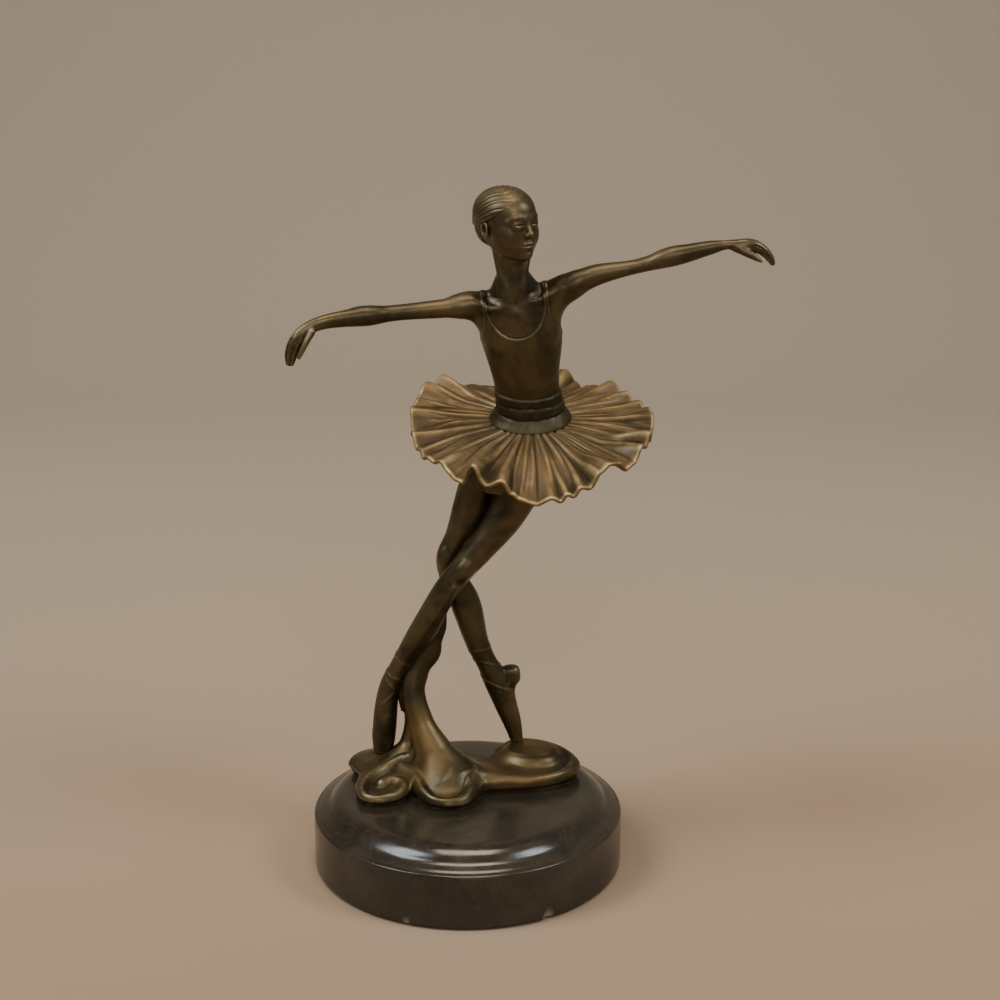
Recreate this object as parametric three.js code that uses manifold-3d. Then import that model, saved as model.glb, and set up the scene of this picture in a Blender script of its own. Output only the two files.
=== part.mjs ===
// A cast bronze statuette of a dancer on pointe, fixed to a turned marble base.
// Millimetres, +Z up, the dancer faces -Y. The origin is the centre of the felt underside.

import * as THREE from 'three';
import { mergeVertices } from 'three/addons/utils/BufferGeometryUtils.js';
import Module from 'manifold-3d';

const wasm = await Module();
wasm.setup();

// ---------------------------------------------------------------- driving sizes

const BASE_RADIUS = 60;
const BASE_HEIGHT = 27.8;
const TOP_EDGE_INSET = 4.6;
const LIP_DROP = 7.2;
const LIP_RADIUS = 0.8;
const FELT_THICKNESS = 0.7;
const FELT_INSET = 2;

const FIGURE_HEIGHT = 235;
const SKIRT_RADIUS = 45.5;
const SKIRT_THICKNESS = 1.6;
const SASH_HEIGHT = 12;
const GROUND_THICKNESS = 5.5;

const STUD_RADIUS = 3;
const STUD_GRIP = 7;
const NUT_HEIGHT = 5;
const NUT_FLATS = 10;
const WASHER_RADIUS = 6;
const WASHER_THICKNESS = 1.6;
const POCKET_RADIUS = 8.5;
const POCKET_DEPTH = 9;

const BODY_PIN_RADIUS = 1.6;
const LIMB_PIN_RADIUS = 1.1;
const TOE_PIN_RADIUS = 0.9;
const PIN_REACH = 6;

const SEAM_GAP = 0.3;
const SEAM_START = 0.315;
const BORE_CLEARANCE = 0.15;
const MARBLE_BORE_CLEARANCE = 0.5;
const LEFT_LANDING_RADIUS = 5.2;
const RIGHT_LANDING_RADIUS = 4.4;
const LEG_RINGS = 18;
const ARM_RINGS = 24;

// Places on the figure are listed for a figure 235 mm tall and follow its height.
const DRAWN_HEIGHT = 235;
const FIGURE_SCALE = FIGURE_HEIGHT / DRAWN_HEIGHT;
const BASE_TOP = FELT_THICKNESS + BASE_HEIGHT;

// ---------------------------------------------------------------- the pose
// Each station is [x, y, z, half width, half depth], in mm above the top of the base.

const LEFT_LEG = [
  [25.5, 10.5, 132.0, 9.6, 10.0],
  [14.6, 8.0, 109.5, 7.0, 7.4],
  [6.2, 7.0, 98.0, 5.4, 5.8],
  [-2.0, 7.0, 88.5, 4.9, 5.2],
  [-7.8, 8.0, 80.5, 4.8, 5.0],
  [-16.7, 12.0, 63.3, 5.1, 5.4],
  [-26.9, 17.0, 44.7, 4.0, 4.3],
  [-31.2, 18.8, 35.0, 4.2, 4.4],
  [-33.0, 18.8, 23.0, 4.7, 4.9],
  [-33.8, 19.2, 14.0, 4.5, 4.6],
  [-34.3, 19.5, 7.0, 3.4, 3.6],
];
const LEFT_TOE_HEIGHT = 8.5;

const RIGHT_LEG = [
  [9.5, 16.0, 132.0, 9.0, 9.6],
  [2.2, 17.5, 114.0, 6.8, 7.2],
  [-3.4, 18.5, 98.0, 5.3, 5.8],
  [-7.2, 19.0, 89.5, 4.9, 5.2],
  [-5.6, 19.8, 81.0, 5.2, 5.4],
  [-0.9, 20.5, 70.0, 5.8, 5.8],
  [3.6, 21.8, 53.5, 4.6, 4.8],
  [7.2, 22.8, 44.8, 4.1, 4.6],
  [11.6, 24.0, 35.6, 5.0, 4.3],
  [14.6, 24.8, 26.2, 4.2, 4.0],
  [17.8, 25.4, 15.4, 2.8, 3.0],
  [19.8, 25.6, 8.0, 2.0, 2.2],
];
const LEFT_HEEL = { place: [-31, 22.4, 40], size: [3.2, 2.8, 4] };
const RIGHT_HEEL = { place: [16.6, 24.8, 38.6], size: [4.2, 3.8, 4.4] };
const RIGHT_TOE_HEIGHT = 10.6;
const HIP_SEAM_HEIGHT = 119.5;

const TRUNK = [
  [17.5, 13.0, 121.0, 13.0, 10.5],
  [19.5, 13.0, 130.0, 15.0, 11.6],
  [22.9, 12.9, 139.5, 13.0, 10.2],
  [24.2, 12.2, 147.5, 11.6, 9.0],
  [23.6, 11.0, 154.0, 11.2, 8.8],
  [22.2, 8.8, 165.0, 12.3, 9.4],
  [20.8, 6.2, 178.0, 14.6, 10.6],
  [19.2, 3.4, 188.0, 15.0, 9.0],
  [18.3, 1.8, 194.0, 12.6, 7.0],
  [17.8, 1.2, 197.0, 8.0, 5.6],
];
const WAIST_SEAM = 0.43;
const NECK = [
  [18.2, 2.2, 190.0, 7.2, 6.6],
  [17.4, 1.0, 198.0, 5.7, 5.5],
  [17.0, 0.2, 206.0, 5.3, 5.3],
  [16.2, -0.6, 216.0, 5.4, 5.6],
];
const NECK_SEAM = 0.667;

const RIGHT_ARM = [
  [9.0, 3.4, 188.5, 6.2, 6.0],
  [0.2, 1.8, 191.3, 4.3, 4.6],
  [-7.0, 0.2, 190.8, 3.5, 3.8],
  [-24.9, -4.0, 189.9, 2.9, 3.2],
  [-35.5, -6.8, 189.2, 3.5, 3.6],
  [-44.2, -9.0, 188.6, 3.0, 2.8],
  [-51.4, -11.2, 187.6, 2.5, 2.1],
  [-55.6, -12.4, 186.0, 2.4, 2.0],
  [-58.7, -13.4, 183.4, 2.7, 1.9],
  [-60.9, -14.0, 180.2, 2.7, 1.8],
  [-62.2, -14.4, 176.6, 2.4, 1.6],
  [-62.6, -14.6, 174.2, 1.8, 1.3],
];
const RIGHT_THUMB = [
  [-54.6, -13.8, 184.8, 1.3, 1.2],
  [-57.4, -15.4, 180.4, 1.1, 1.0],
  [-59.2, -15.8, 176.4, 0.7, 0.7],
];
const RIGHT_SHOULDER_SEAM = 0.0982;

const LEFT_ARM = [
  [28.5, 3.4, 190.0, 6.2, 6.0],
  [36.6, 1.6, 197.2, 4.6, 4.8],
  [45.9, 0.4, 202.4, 4.0, 4.2],
  [62.3, -1.6, 206.5, 2.6, 3.2],
  [76.0, -3.2, 210.4, 3.4, 3.5],
  [88.0, -4.5, 213.6, 2.5, 2.7],
  [93.8, -5.0, 214.7, 1.7, 1.9],
  [97.4, -5.1, 214.6, 2.1, 2.1],
  [101.0, -5.2, 214.6, 2.4, 2.1],
  [104.1, -5.2, 214.1, 2.2, 1.9],
  [107.0, -5.2, 212.4, 1.9, 1.7],
  [109.2, -5.2, 209.9, 1.5, 1.4],
  [110.2, -5.2, 208.1, 1.0, 0.9],
];
const LEFT_THUMB = [
  [98.0, -6.0, 213.3, 1.6, 1.4],
  [102.2, -7.2, 211.4, 1.3, 1.1],
  [105.6, -7.8, 209.3, 0.6, 0.6],
];
const LEFT_SHOULDER_SEAM = 0.0788;

const HEAD_CENTRE = [15.2, -2.4, 223.2];
const HEAD_YAW = 40;
const SKIRT_CENTRE = [24.2, 12.0, 146.0];
const SKIRT_TILT = 15;
const SKIRT_PLEATS = 26;
const SASH_BELOW_SEAM = 0.68;

const STEM = [
  [-9.0, 2.0, 4.0, 13.0, 12.0],
  [-13.6, 5.5, 14.0, 7.2, 7.4],
  [-18.2, 9.4, 24.0, 4.6, 5.0],
  [-21.2, 13.4, 36.0, 3.9, 4.8],
  [-19.4, 16.6, 45.0, 4.2, 5.0],
  [-16.2, 17.8, 51.0, 5.1, 5.1],
  [-14.6, 18.0, 56.0, 4.2, 4.6],
  [-12.4, 16.8, 62.0, 3.7, 4.0],
  [-10.6, 14.8, 69.5, 2.2, 2.4],
];
const STEM_BRANCH = [
  [-20.2, 17.0, 41.0, 3.8, 4.0],
  [-22.8, 19.0, 31.0, 3.3, 3.8],
  [-22.0, 19.4, 21.0, 3.4, 3.6],
  [-23.8, 18.4, 12.0, 3.6, 4.0],
  [-28.0, 15.0, 4.0, 5.0, 6.0],
];
const GROUND_OUTLINE = [
  [-43, -8], [-41, -14], [-35.5, -17], [-28.5, -14.5], [-24, -9.5], [-21, -6.5],
  [-18.5, -13], [-13, -18.6], [-6.5, -20.4], [0, -18], [3.6, -12], [7, -5.5],
  [15, -4.6], [25, -3], [34.5, 1.4], [41.5, 7], [44.5, 14], [41.5, 21.5],
  [34.5, 27.5], [25, 30.5], [16, 28.5], [10.5, 22.5], [6, 17.5], [0, 20],
  [-8, 27], [-20, 33], [-34, 34.5], [-44.5, 29], [-48.5, 19], [-46.5, 8],
];
const GROUND_MOUNDS = [
  { place: [-33, 17, 0], size: [14.5, 15, 8.2] },
  { place: [-34, -5.5, 1], size: [8.6, 9.4, 5.4] },
  { place: [-8, -5, 1], size: [11, 14, 9.5] },
  { place: [25, 15, 3], size: [18, 14.5, 7.4] },
  { place: [6, 4, 1], size: [13, 8, 6.8] },
];
const FRONT_STUD = [-9, 4];
const REAR_STUD = [25, 14];

// ---------------------------------------------------------------- shape helpers

const radians = (degrees) => THREE.MathUtils.degToRad(degrees);

function figurePoint([x, y, z]) {
  return new THREE.Vector3(x, y, z).multiplyScalar(FIGURE_SCALE);
}

function solidOf(geometry) {
  const bare = geometry.clone();
  bare.deleteAttribute('normal');
  bare.deleteAttribute('uv');
  const merged = mergeVertices(bare, 1e-5);
  return new wasm.Manifold(new wasm.Mesh({
    numProp: 3,
    vertProperties: new Float32Array(merged.attributes.position.array),
    triVerts: new Uint32Array(merged.index.array),
  }));
}

function geometryOf(solid) {
  const mesh = solid.getMesh();
  const geometry = new THREE.BufferGeometry();
  geometry.setAttribute('position', new THREE.BufferAttribute(mesh.vertProperties, 3));
  geometry.setIndex(new THREE.BufferAttribute(mesh.triVerts, 1));
  geometry.computeVertexNormals();
  return geometry;
}

function gridGeometry(rows, closedRows) {
  // Joins rows of points into a skin. Open ends are closed by a fan to their middle.
  const sides = rows[0].length;
  const positions = rows.flat().flatMap((p) => [p.x, p.y, p.z]);
  const faces = [];
  const last = closedRows ? rows.length : rows.length - 1;
  for (let i = 0; i < last; i += 1) {
    for (let j = 0; j < sides; j += 1) {
      const a = i * sides + j;
      const b = i * sides + ((j + 1) % sides);
      const c = ((i + 1) % rows.length) * sides + j;
      const d = ((i + 1) % rows.length) * sides + ((j + 1) % sides);
      faces.push(a, b, d, a, d, c);
    }
  }
  if (!closedRows) {
    [0, rows.length - 1].forEach((i) => {
      const middle = new THREE.Vector3();
      rows[i].forEach((p) => middle.addScaledVector(p, 1 / sides));
      positions.push(middle.x, middle.y, middle.z);
      const hub = positions.length / 3 - 1;
      for (let j = 0; j < sides; j += 1) {
        const a = i * sides + j;
        const b = i * sides + ((j + 1) % sides);
        faces.push(...(i === 0 ? [hub, b, a] : [hub, a, b]));
      }
    });
  }
  const geometry = new THREE.BufferGeometry();
  geometry.setAttribute('position', new THREE.Float32BufferAttribute(positions, 3));
  geometry.setIndex(faces);
  return geometry;
}

function limbCurves(stations) {
  return {
    spine: new THREE.CatmullRomCurve3(stations.map(figurePoint)),
    widths: new THREE.CatmullRomCurve3(stations.map(([, , , a, b]) => figurePoint([a, b, 0]))),
  };
}

function limbRow({ spine, widths }, t, sides, extra) {
  // One oval section of a limb, square to its line, grown all round by extra.
  const centre = spine.getPoint(t);
  const along = spine.getTangent(t);
  const wide = new THREE.Vector3().crossVectors(new THREE.Vector3(0, 1, 0), along).normalize();
  const deep = new THREE.Vector3().crossVectors(along, wide);
  const size = widths.getPoint(t);
  return Array.from({ length: sides }, (_, j) => {
    const angle = (2 * Math.PI * j) / sides;
    return centre.clone()
      .addScaledVector(wide, (size.x + extra) * Math.cos(angle))
      .addScaledVector(deep, (size.y + extra) * Math.sin(angle));
  });
}

function limb(stations, { from = 0, to = 1, rings = 20, sides = 12, extra = 0 } = {}) {
  // A tapering round limb along the stations, with flat ends square to its own line.
  const curves = limbCurves(stations);
  const rows = Array.from({ length: rings + 1 }, (_, i) => (
    limbRow(curves, from + ((to - from) * i) / rings, sides, extra)
  ));
  return solidOf(gridGeometry(rows, false));
}

function seamOf(stations, t) {
  const { spine } = limbCurves(stations);
  return { place: spine.getPoint(t), along: spine.getTangent(t) };
}

function afterSeam(stations, t) {
  // The share of the line at which a limb starts again, a little over a seam gap further on.
  const { spine } = limbCurves(stations);
  return t + SEAM_START / spine.getLength();
}

function ball(place, size, turn = new THREE.Euler()) {
  const geometry = new THREE.SphereGeometry(1, 14, 9);
  const placing = new THREE.Matrix4().compose(
    figurePoint(place),
    new THREE.Quaternion().setFromEuler(turn),
    figurePoint(size),
  );
  return solidOf(geometry.applyMatrix4(placing));
}

function union(solids) {
  return solids.reduce((joined, solid) => joined.add(solid));
}

function halfSpace(height, upwards) {
  // A large block that fills the space above or below a level plane.
  const size = 4 * FIGURE_HEIGHT;
  const block = new THREE.BoxGeometry(size, size, size);
  block.translate(0, 0, height + (upwards ? size / 2 : -size / 2));
  return solidOf(block);
}

function rod(radius, start, end, sides = 10) {
  // A straight round rod between two points, as a geometry along Z and its placing.
  const geometry = new THREE.CylinderGeometry(radius, radius, start.distanceTo(end), sides);
  geometry.rotateX(Math.PI / 2);
  const direction = end.clone().sub(start).normalize();
  const turn = new THREE.Quaternion().setFromUnitVectors(new THREE.Vector3(0, 0, 1), direction);
  return { geometry, middle: start.clone().lerp(end, 0.5), turn };
}

function rodSolid(radius, start, end, sides) {
  const { geometry, middle, turn } = rod(radius, start, end, sides);
  const placing = new THREE.Matrix4().compose(middle, turn, new THREE.Vector3(1, 1, 1));
  return solidOf(geometry.applyMatrix4(placing));
}

// ---------------------------------------------------------------- hidden pins

const HALVINGS = 40;
const PINS = {
  waist_dowel: { seam: seamOf(TRUNK, WAIST_SEAM), radius: BODY_PIN_RADIUS },
  neck_dowel: { seam: seamOf(NECK, NECK_SEAM), radius: BODY_PIN_RADIUS },
  left_shoulder_dowel: { seam: seamOf(LEFT_ARM, LEFT_SHOULDER_SEAM), radius: LIMB_PIN_RADIUS },
  right_shoulder_dowel: { seam: seamOf(RIGHT_ARM, RIGHT_SHOULDER_SEAM), radius: LIMB_PIN_RADIUS },
  left_hip_dowel: { seam: legSeam(LEFT_LEG, HIP_SEAM_HEIGHT), radius: LIMB_PIN_RADIUS },
  right_hip_dowel: { seam: legSeam(RIGHT_LEG, HIP_SEAM_HEIGHT), radius: LIMB_PIN_RADIUS },
  left_toe_dowel: { seam: legSeam(LEFT_LEG, LEFT_TOE_HEIGHT), radius: TOE_PIN_RADIUS },
  right_toe_dowel: { seam: legSeam(RIGHT_LEG, RIGHT_TOE_HEIGHT), radius: TOE_PIN_RADIUS },
};

function legSeam(stations, height) {
  const { spine } = limbCurves(stations);
  let low = 0;
  let high = 1;
  for (let i = 0; i < HALVINGS; i += 1) {
    const middle = (low + high) / 2;
    if (spine.getPoint(middle).z > height * FIGURE_SCALE) {
      low = middle;
    } else {
      high = middle;
    }
  }
  return { place: spine.getPoint(low), along: spine.getTangent(low) };
}

function pinEnds({ seam }, extra = 0) {
  const reach = PIN_REACH / 2 + extra;
  return [
    seam.place.clone().addScaledVector(seam.along, -reach),
    seam.place.clone().addScaledVector(seam.along, reach),
  ];
}

function pinBore(name) {
  const pin = PINS[name];
  const [start, end] = pinEnds(pin, BORE_CLEARANCE);
  return rodSolid(pin.radius + BORE_CLEARANCE, start, end);
}

function boredFor(solid, names) {
  return names.reduce((cut, name) => cut.subtract(pinBore(name)), solid);
}

// ---------------------------------------------------------------- the castings

function leftLeg() {
  const below = halfSpace(HIP_SEAM_HEIGHT * FIGURE_SCALE, false);
  const above = halfSpace(LEFT_TOE_HEIGHT * FIGURE_SCALE + SEAM_GAP, true);
  const leg = limb(LEFT_LEG, { rings: LEG_RINGS })
    .add(ball(LEFT_HEEL.place, LEFT_HEEL.size))
    .intersect(below)
    .intersect(above);
  return geometryOf(boredFor(leg, ['left_hip_dowel', 'left_toe_dowel']));
}

function rightLeg() {
  const below = halfSpace(HIP_SEAM_HEIGHT * FIGURE_SCALE, false);
  const above = halfSpace(RIGHT_TOE_HEIGHT * FIGURE_SCALE + SEAM_GAP, true);
  const leg = limb(RIGHT_LEG, { rings: LEG_RINGS })
    .add(ball(RIGHT_HEEL.place, RIGHT_HEEL.size))
    .intersect(below)
    .intersect(above)
    .subtract(limb(LEFT_LEG, { rings: LEG_RINGS, extra: SEAM_GAP }));
  return geometryOf(boredFor(leg, ['right_hip_dowel', 'right_toe_dowel']));
}

function pelvis() {
  const above = halfSpace(HIP_SEAM_HEIGHT * FIGURE_SCALE + SEAM_GAP, true);
  const hips = union([
    limb(TRUNK, { from: 0, to: WAIST_SEAM, rings: 12, sides: 20 }),
    limb(LEFT_LEG, { rings: LEG_RINGS }),
    limb(RIGHT_LEG, { rings: LEG_RINGS }),
  ]).intersect(above).subtract(solidOf(skirt(SEAM_GAP).applyMatrix4(skirtPlacing())));
  return geometryOf(boredFor(hips, ['left_hip_dowel', 'right_hip_dowel', 'waist_dowel']));
}

function torso() {
  const body = union([
    limb(TRUNK, { from: afterSeam(TRUNK, WAIST_SEAM), to: 1, rings: 12, sides: 20 }),
    limb(NECK, { from: 0, to: NECK_SEAM, rings: 6, sides: 12 }),
    limb(RIGHT_ARM, { from: 0, to: RIGHT_SHOULDER_SEAM, rings: 3, sides: 12 }),
    limb(LEFT_ARM, { from: 0, to: LEFT_SHOULDER_SEAM, rings: 3, sides: 12 }),
    ball([14.6, -1.2, 178.6], [6.2, 5.0, 7.0]),
    ball([26.6, -0.6, 180.0], [6.2, 5.0, 7.0]),
  ]);
  const pins = ['waist_dowel', 'neck_dowel', 'left_shoulder_dowel', 'right_shoulder_dowel'];
  return geometryOf(boredFor(body, pins));
}

function arm(stations, thumb, seam, pin) {
  const whole = limb(stations, { from: afterSeam(stations, seam), to: 1, rings: ARM_RINGS })
    .add(limb(thumb, { rings: 4, sides: 8 }));
  return geometryOf(boredFor(whole, [pin]));
}

function head() {
  const yaw = new THREE.Matrix4().makeRotationZ(radians(HEAD_YAW));
  const inHead = ([x, y, z]) => {
    const turned = new THREE.Vector3(x, y, z).applyMatrix4(yaw);
    return [turned.x + HEAD_CENTRE[0], turned.y + HEAD_CENTRE[1], turned.z + HEAD_CENTRE[2]];
  };
  const turn = new THREE.Euler(0, 0, radians(HEAD_YAW));
  const lump = (place, size) => ball(inHead(place), size, turn);
  const skull = union([
    lump([0, 0.8, 1.4], [10.8, 13.0, 11.0]),
    lump([0, -4.6, -4.2], [8.6, 8.2, 10.4]),
    lump([0, 3.4, -6.4], [8.4, 8.6, 8.4]),
    lump([0, -12.2, -3.2], [1.6, 1.9, 2.8]),
    lump([-10.4, 1.2, -3.2], [1.3, 2.2, 3.4]),
    lump([10.4, 1.2, -3.2], [1.3, 2.2, 3.4]),
    lump([0, 11.8, -3.6], [4.6, 3.6, 4.2]),
    limb(NECK, { from: afterSeam(NECK, NECK_SEAM), to: 1, rings: 3, sides: 12 }),
  ]);
  const neckBelow = limb(NECK, { from: 0, to: NECK_SEAM, rings: 6, sides: 12, extra: SEAM_GAP });
  return geometryOf(boredFor(skull.subtract(neckBelow), ['neck_dowel']));
}

// ---------------------------------------------------------------- skirt and sash

function skirtPlacing() {
  const turn = new THREE.Matrix4().makeRotationX(radians(SKIRT_TILT));
  return turn.setPosition(figurePoint(SKIRT_CENTRE));
}

function skirtPoint(angle, share, side, extra) {
  // share runs from the waist to the rim, and side is 1 on the top skin and -1 below.
  const wave = Math.cos(SKIRT_PLEATS * angle) * 1.5 * share ** 1.5;
  const holeWide = TRUNK[3][3] + 0.8 - extra;
  const holeDeep = TRUNK[3][4] + 1.6 - extra;
  const reach = SKIRT_RADIUS * (1 - 0.03 * Math.sin(angle) - 0.03 * Math.sin(2 * angle));
  const x = THREE.MathUtils.lerp(holeWide, reach, share) * Math.cos(angle);
  const y = THREE.MathUtils.lerp(holeDeep, reach, share) * Math.sin(angle);
  const frontBack = Math.cos(2 * angle) * 4.4 * share ** 2;
  const droop = -3 * share ** 2;
  const skin = side * (SKIRT_THICKNESS / 2 + extra);
  return new THREE.Vector3(x, y, frontBack + droop + wave + skin);
}

function skirt(extra = 0) {
  const around = SKIRT_PLEATS * 4;
  const steps = 5;
  const rows = [];
  for (let i = 0; i <= steps; i += 1) {
    rows.push({ share: i / steps, side: -1 });
  }
  for (let i = steps; i >= 0; i -= 1) {
    rows.push({ share: i / steps, side: 1 });
  }
  const points = rows.map(({ share, side }) => Array.from({ length: around }, (_, j) => (
    skirtPoint((2 * Math.PI * j) / around, share, side, extra).multiplyScalar(FIGURE_SCALE)
  )));
  return gridGeometry(points, true);
}

function sash() {
  // A soft band of three folds round the waist, trimmed level with the skirt below it.
  // Each fold point is [out from the waist, share of the band's height].
  const folds = [
    [SEAM_GAP, 0], [3.4, 0], [3.9, 0.2], [2.5, 0.36], [2.8, 0.5],
    [1.8, 0.64], [2.1, 0.78], [1.5, 0.92], [0.9, 1],
    ...[1, 0.8, 0.6, 0.4, 0.2].map((share) => [SEAM_GAP, share]),
  ];
  const curves = limbCurves(TRUNK);
  const span = (SASH_HEIGHT * FIGURE_SCALE) / curves.spine.getLength();
  const rows = folds.map(([out, share]) => (
    limbRow(curves, WAIST_SEAM + span * (share - SASH_BELOW_SEAM), 36, out * FIGURE_SCALE)
  ));
  const block = new THREE.BoxGeometry(4 * SKIRT_RADIUS, 4 * SKIRT_RADIUS, SKIRT_RADIUS);
  block.translate(0, 0, SKIRT_THICKNESS / 2 * FIGURE_SCALE + SEAM_GAP - SKIRT_RADIUS / 2);
  const band = solidOf(gridGeometry(rows, true));
  return geometryOf(band.subtract(solidOf(block.applyMatrix4(skirtPlacing()))));
}

// ---------------------------------------------------------------- ground casting

function ground() {
  const outline = new THREE.Shape();
  const ring = GROUND_OUTLINE.map(([x, y]) => new THREE.Vector3(x, y, 0));
  const smooth = new THREE.CatmullRomCurve3(ring, true).getPoints(GROUND_OUTLINE.length * 2);
  outline.setFromPoints(smooth.slice(0, -1).map((p) => new THREE.Vector2(p.x, p.y)));
  const plate = new THREE.ExtrudeGeometry(outline, {
    depth: GROUND_THICKNESS, bevelEnabled: false, steps: 1,
  });
  plate.scale(FIGURE_SCALE, FIGURE_SCALE, 1);
  const landing = (toe, height, radius) => {
    const foot = PINS[toe].seam.place.clone().setZ(1);
    const level = foot.clone().setZ(height * FIGURE_SCALE);
    return rodSolid(radius * FIGURE_SCALE, foot, level, 20);
  };
  const mass = union([
    solidOf(plate),
    ...GROUND_MOUNDS.map(({ place, size }) => ball(place, size)),
    limb(STEM, { rings: 14 }),
    limb(STEM_BRANCH, { rings: 8, sides: 8 }),
    landing('left_toe_dowel', LEFT_TOE_HEIGHT, LEFT_LANDING_RADIUS),
    landing('right_toe_dowel', RIGHT_TOE_HEIGHT, RIGHT_LANDING_RADIUS),
  ]).intersect(halfSpace(0, true))
    .subtract(limb(LEFT_LEG, { rings: LEG_RINGS, extra: SEAM_GAP }).intersect(
      halfSpace(LEFT_TOE_HEIGHT * FIGURE_SCALE, true),
    ));
  const bores = [FRONT_STUD, REAR_STUD].map((place) => studBore(place));
  const cut = bores.reduce((solid, bore) => solid.subtract(bore), mass);
  return geometryOf(boredFor(cut, ['left_toe_dowel', 'right_toe_dowel']));
}

function studBore([x, y]) {
  const radius = STUD_RADIUS + BORE_CLEARANCE;
  const start = new THREE.Vector3(x * FIGURE_SCALE, y * FIGURE_SCALE, -1);
  const end = start.clone().setZ(STUD_GRIP + BORE_CLEARANCE);
  return rodSolid(radius, start, end, 24);
}

// ---------------------------------------------------------------- base and fasteners

function arcPoints(x, y, radius, startDegrees, endDegrees, steps) {
  return Array.from({ length: steps + 1 }, (_, i) => {
    const angle = radians(startDegrees + ((endDegrees - startDegrees) * i) / steps);
    return new THREE.Vector2(x + radius * Math.cos(angle), y + radius * Math.sin(angle));
  });
}

function marbleBase() {
  // Turned profile: a plain wall, a small lip, a shallow cove and a broad rounded top edge.
  const topRadius = BASE_RADIUS - TOP_EDGE_INSET;
  const lip = BASE_HEIGHT - LIP_DROP;
  const profile = [
    new THREE.Vector2(0, 0),
    new THREE.Vector2(BASE_RADIUS - 0.5, 0),
    new THREE.Vector2(BASE_RADIUS, 0.5),
    ...arcPoints(BASE_RADIUS - LIP_RADIUS, lip, LIP_RADIUS, 0, 80, 2),
    new THREE.Vector2(topRadius + 2.6, lip + 1.9),
    new THREE.Vector2(topRadius + 0.6, lip + 3.0),
    new THREE.Vector2(topRadius, lip + 4.4),
    new THREE.Vector2(topRadius - 0.5, BASE_HEIGHT - 1.8),
    new THREE.Vector2(topRadius - 2, BASE_HEIGHT - 0.9),
    new THREE.Vector2(topRadius - 4.5, BASE_HEIGHT - 0.35),
    new THREE.Vector2(topRadius - 8, BASE_HEIGHT),
    new THREE.Vector2(0, BASE_HEIGHT),
  ];
  const turned = new THREE.LatheGeometry(profile, 64);
  turned.rotateX(Math.PI / 2);
  let block = solidOf(turned);
  [FRONT_STUD, REAR_STUD].forEach(([x, y]) => {
    const foot = new THREE.Vector3(x * FIGURE_SCALE, y * FIGURE_SCALE, -1);
    const through = foot.clone().setZ(BASE_HEIGHT + 1);
    const pocketTop = foot.clone().setZ(POCKET_DEPTH);
    block = block.subtract(rodSolid(STUD_RADIUS + MARBLE_BORE_CLEARANCE, foot, through, 24));
    block = block.subtract(rodSolid(POCKET_RADIUS, foot, pocketTop, 24));
  });
  return geometryOf(block);
}

function feltPad() {
  const radius = BASE_RADIUS - FELT_INSET;
  const disc = new THREE.CylinderGeometry(radius, radius, FELT_THICKNESS, 64);
  disc.rotateX(Math.PI / 2);
  disc.translate(0, 0, FELT_THICKNESS / 2);
  return disc;
}

function ringGeometry(outline, holeRadius, height) {
  const shape = new THREE.Shape(outline);
  const hole = new THREE.Path();
  hole.absarc(0, 0, holeRadius, 0, 2 * Math.PI, true);
  shape.holes.push(hole);
  return new THREE.ExtrudeGeometry(shape, { depth: height, bevelEnabled: false, curveSegments: 12 });
}

function nut() {
  const corner = NUT_FLATS / 2 / Math.cos(Math.PI / 6);
  return ringGeometry(arcPoints(0, 0, corner, 0, 300, 5), STUD_RADIUS + BORE_CLEARANCE, NUT_HEIGHT);
}

function washer() {
  const outline = arcPoints(0, 0, WASHER_RADIUS, 0, 345, 23);
  return ringGeometry(outline, STUD_RADIUS + 2 * BORE_CLEARANCE, WASHER_THICKNESS);
}

// ---------------------------------------------------------------- materials

const finish = (color, roughness, metalness) => (
  new THREE.MeshStandardMaterial({ color, roughness, metalness })
);
const bronze = finish('#50412a', 0.42, 0.9);
const goldenBronze = finish('#7a5c38', 0.45, 0.9);
const marble = finish('#3b342a', 0.22, 0);
const felt = finish('#23231f', 0.95, 0);
const steel = finish('#9a9a98', 0.4, 1);
const brassPin = finish('#a88b4a', 0.4, 1);

// ---------------------------------------------------------------- assembly

const statuette = new THREE.Group();

function addPiece(parent, name, geometry, material) {
  const mesh = new THREE.Mesh(geometry, material);
  mesh.name = name;
  parent.add(mesh);
  return mesh;
}

addPiece(statuette, 'felt_pad', feltPad(), felt);
addPiece(statuette, 'marble_base', marbleBase(), marble).position.z = FELT_THICKNESS;

const figure = new THREE.Group();
figure.position.z = BASE_TOP;
statuette.add(figure);
addPiece(figure, 'ground_casting', ground(), bronze);
addPiece(figure, 'left_leg', leftLeg(), bronze);
addPiece(figure, 'right_leg', rightLeg(), bronze);
addPiece(figure, 'pelvis', pelvis(), bronze);
addPiece(figure, 'torso', torso(), bronze);
addPiece(figure, 'head', head(), bronze);
const leftArm = arm(LEFT_ARM, LEFT_THUMB, LEFT_SHOULDER_SEAM, 'left_shoulder_dowel');
addPiece(figure, 'left_arm', leftArm, bronze);
const rightArm = arm(RIGHT_ARM, RIGHT_THUMB, RIGHT_SHOULDER_SEAM, 'right_shoulder_dowel');
addPiece(figure, 'right_arm', rightArm, bronze);

const skirtGroup = new THREE.Group();
skirtGroup.applyMatrix4(skirtPlacing());
figure.add(skirtGroup);
addPiece(skirtGroup, 'skirt', skirt(), goldenBronze);
addPiece(figure, 'waist_sash', sash(), bronze);

Object.entries(PINS).forEach(([name, pin]) => {
  const { geometry, middle, turn } = rod(pin.radius, ...pinEnds(pin));
  const mesh = addPiece(figure, name, geometry, brassPin);
  mesh.position.copy(middle);
  mesh.quaternion.copy(turn);
});

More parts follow.
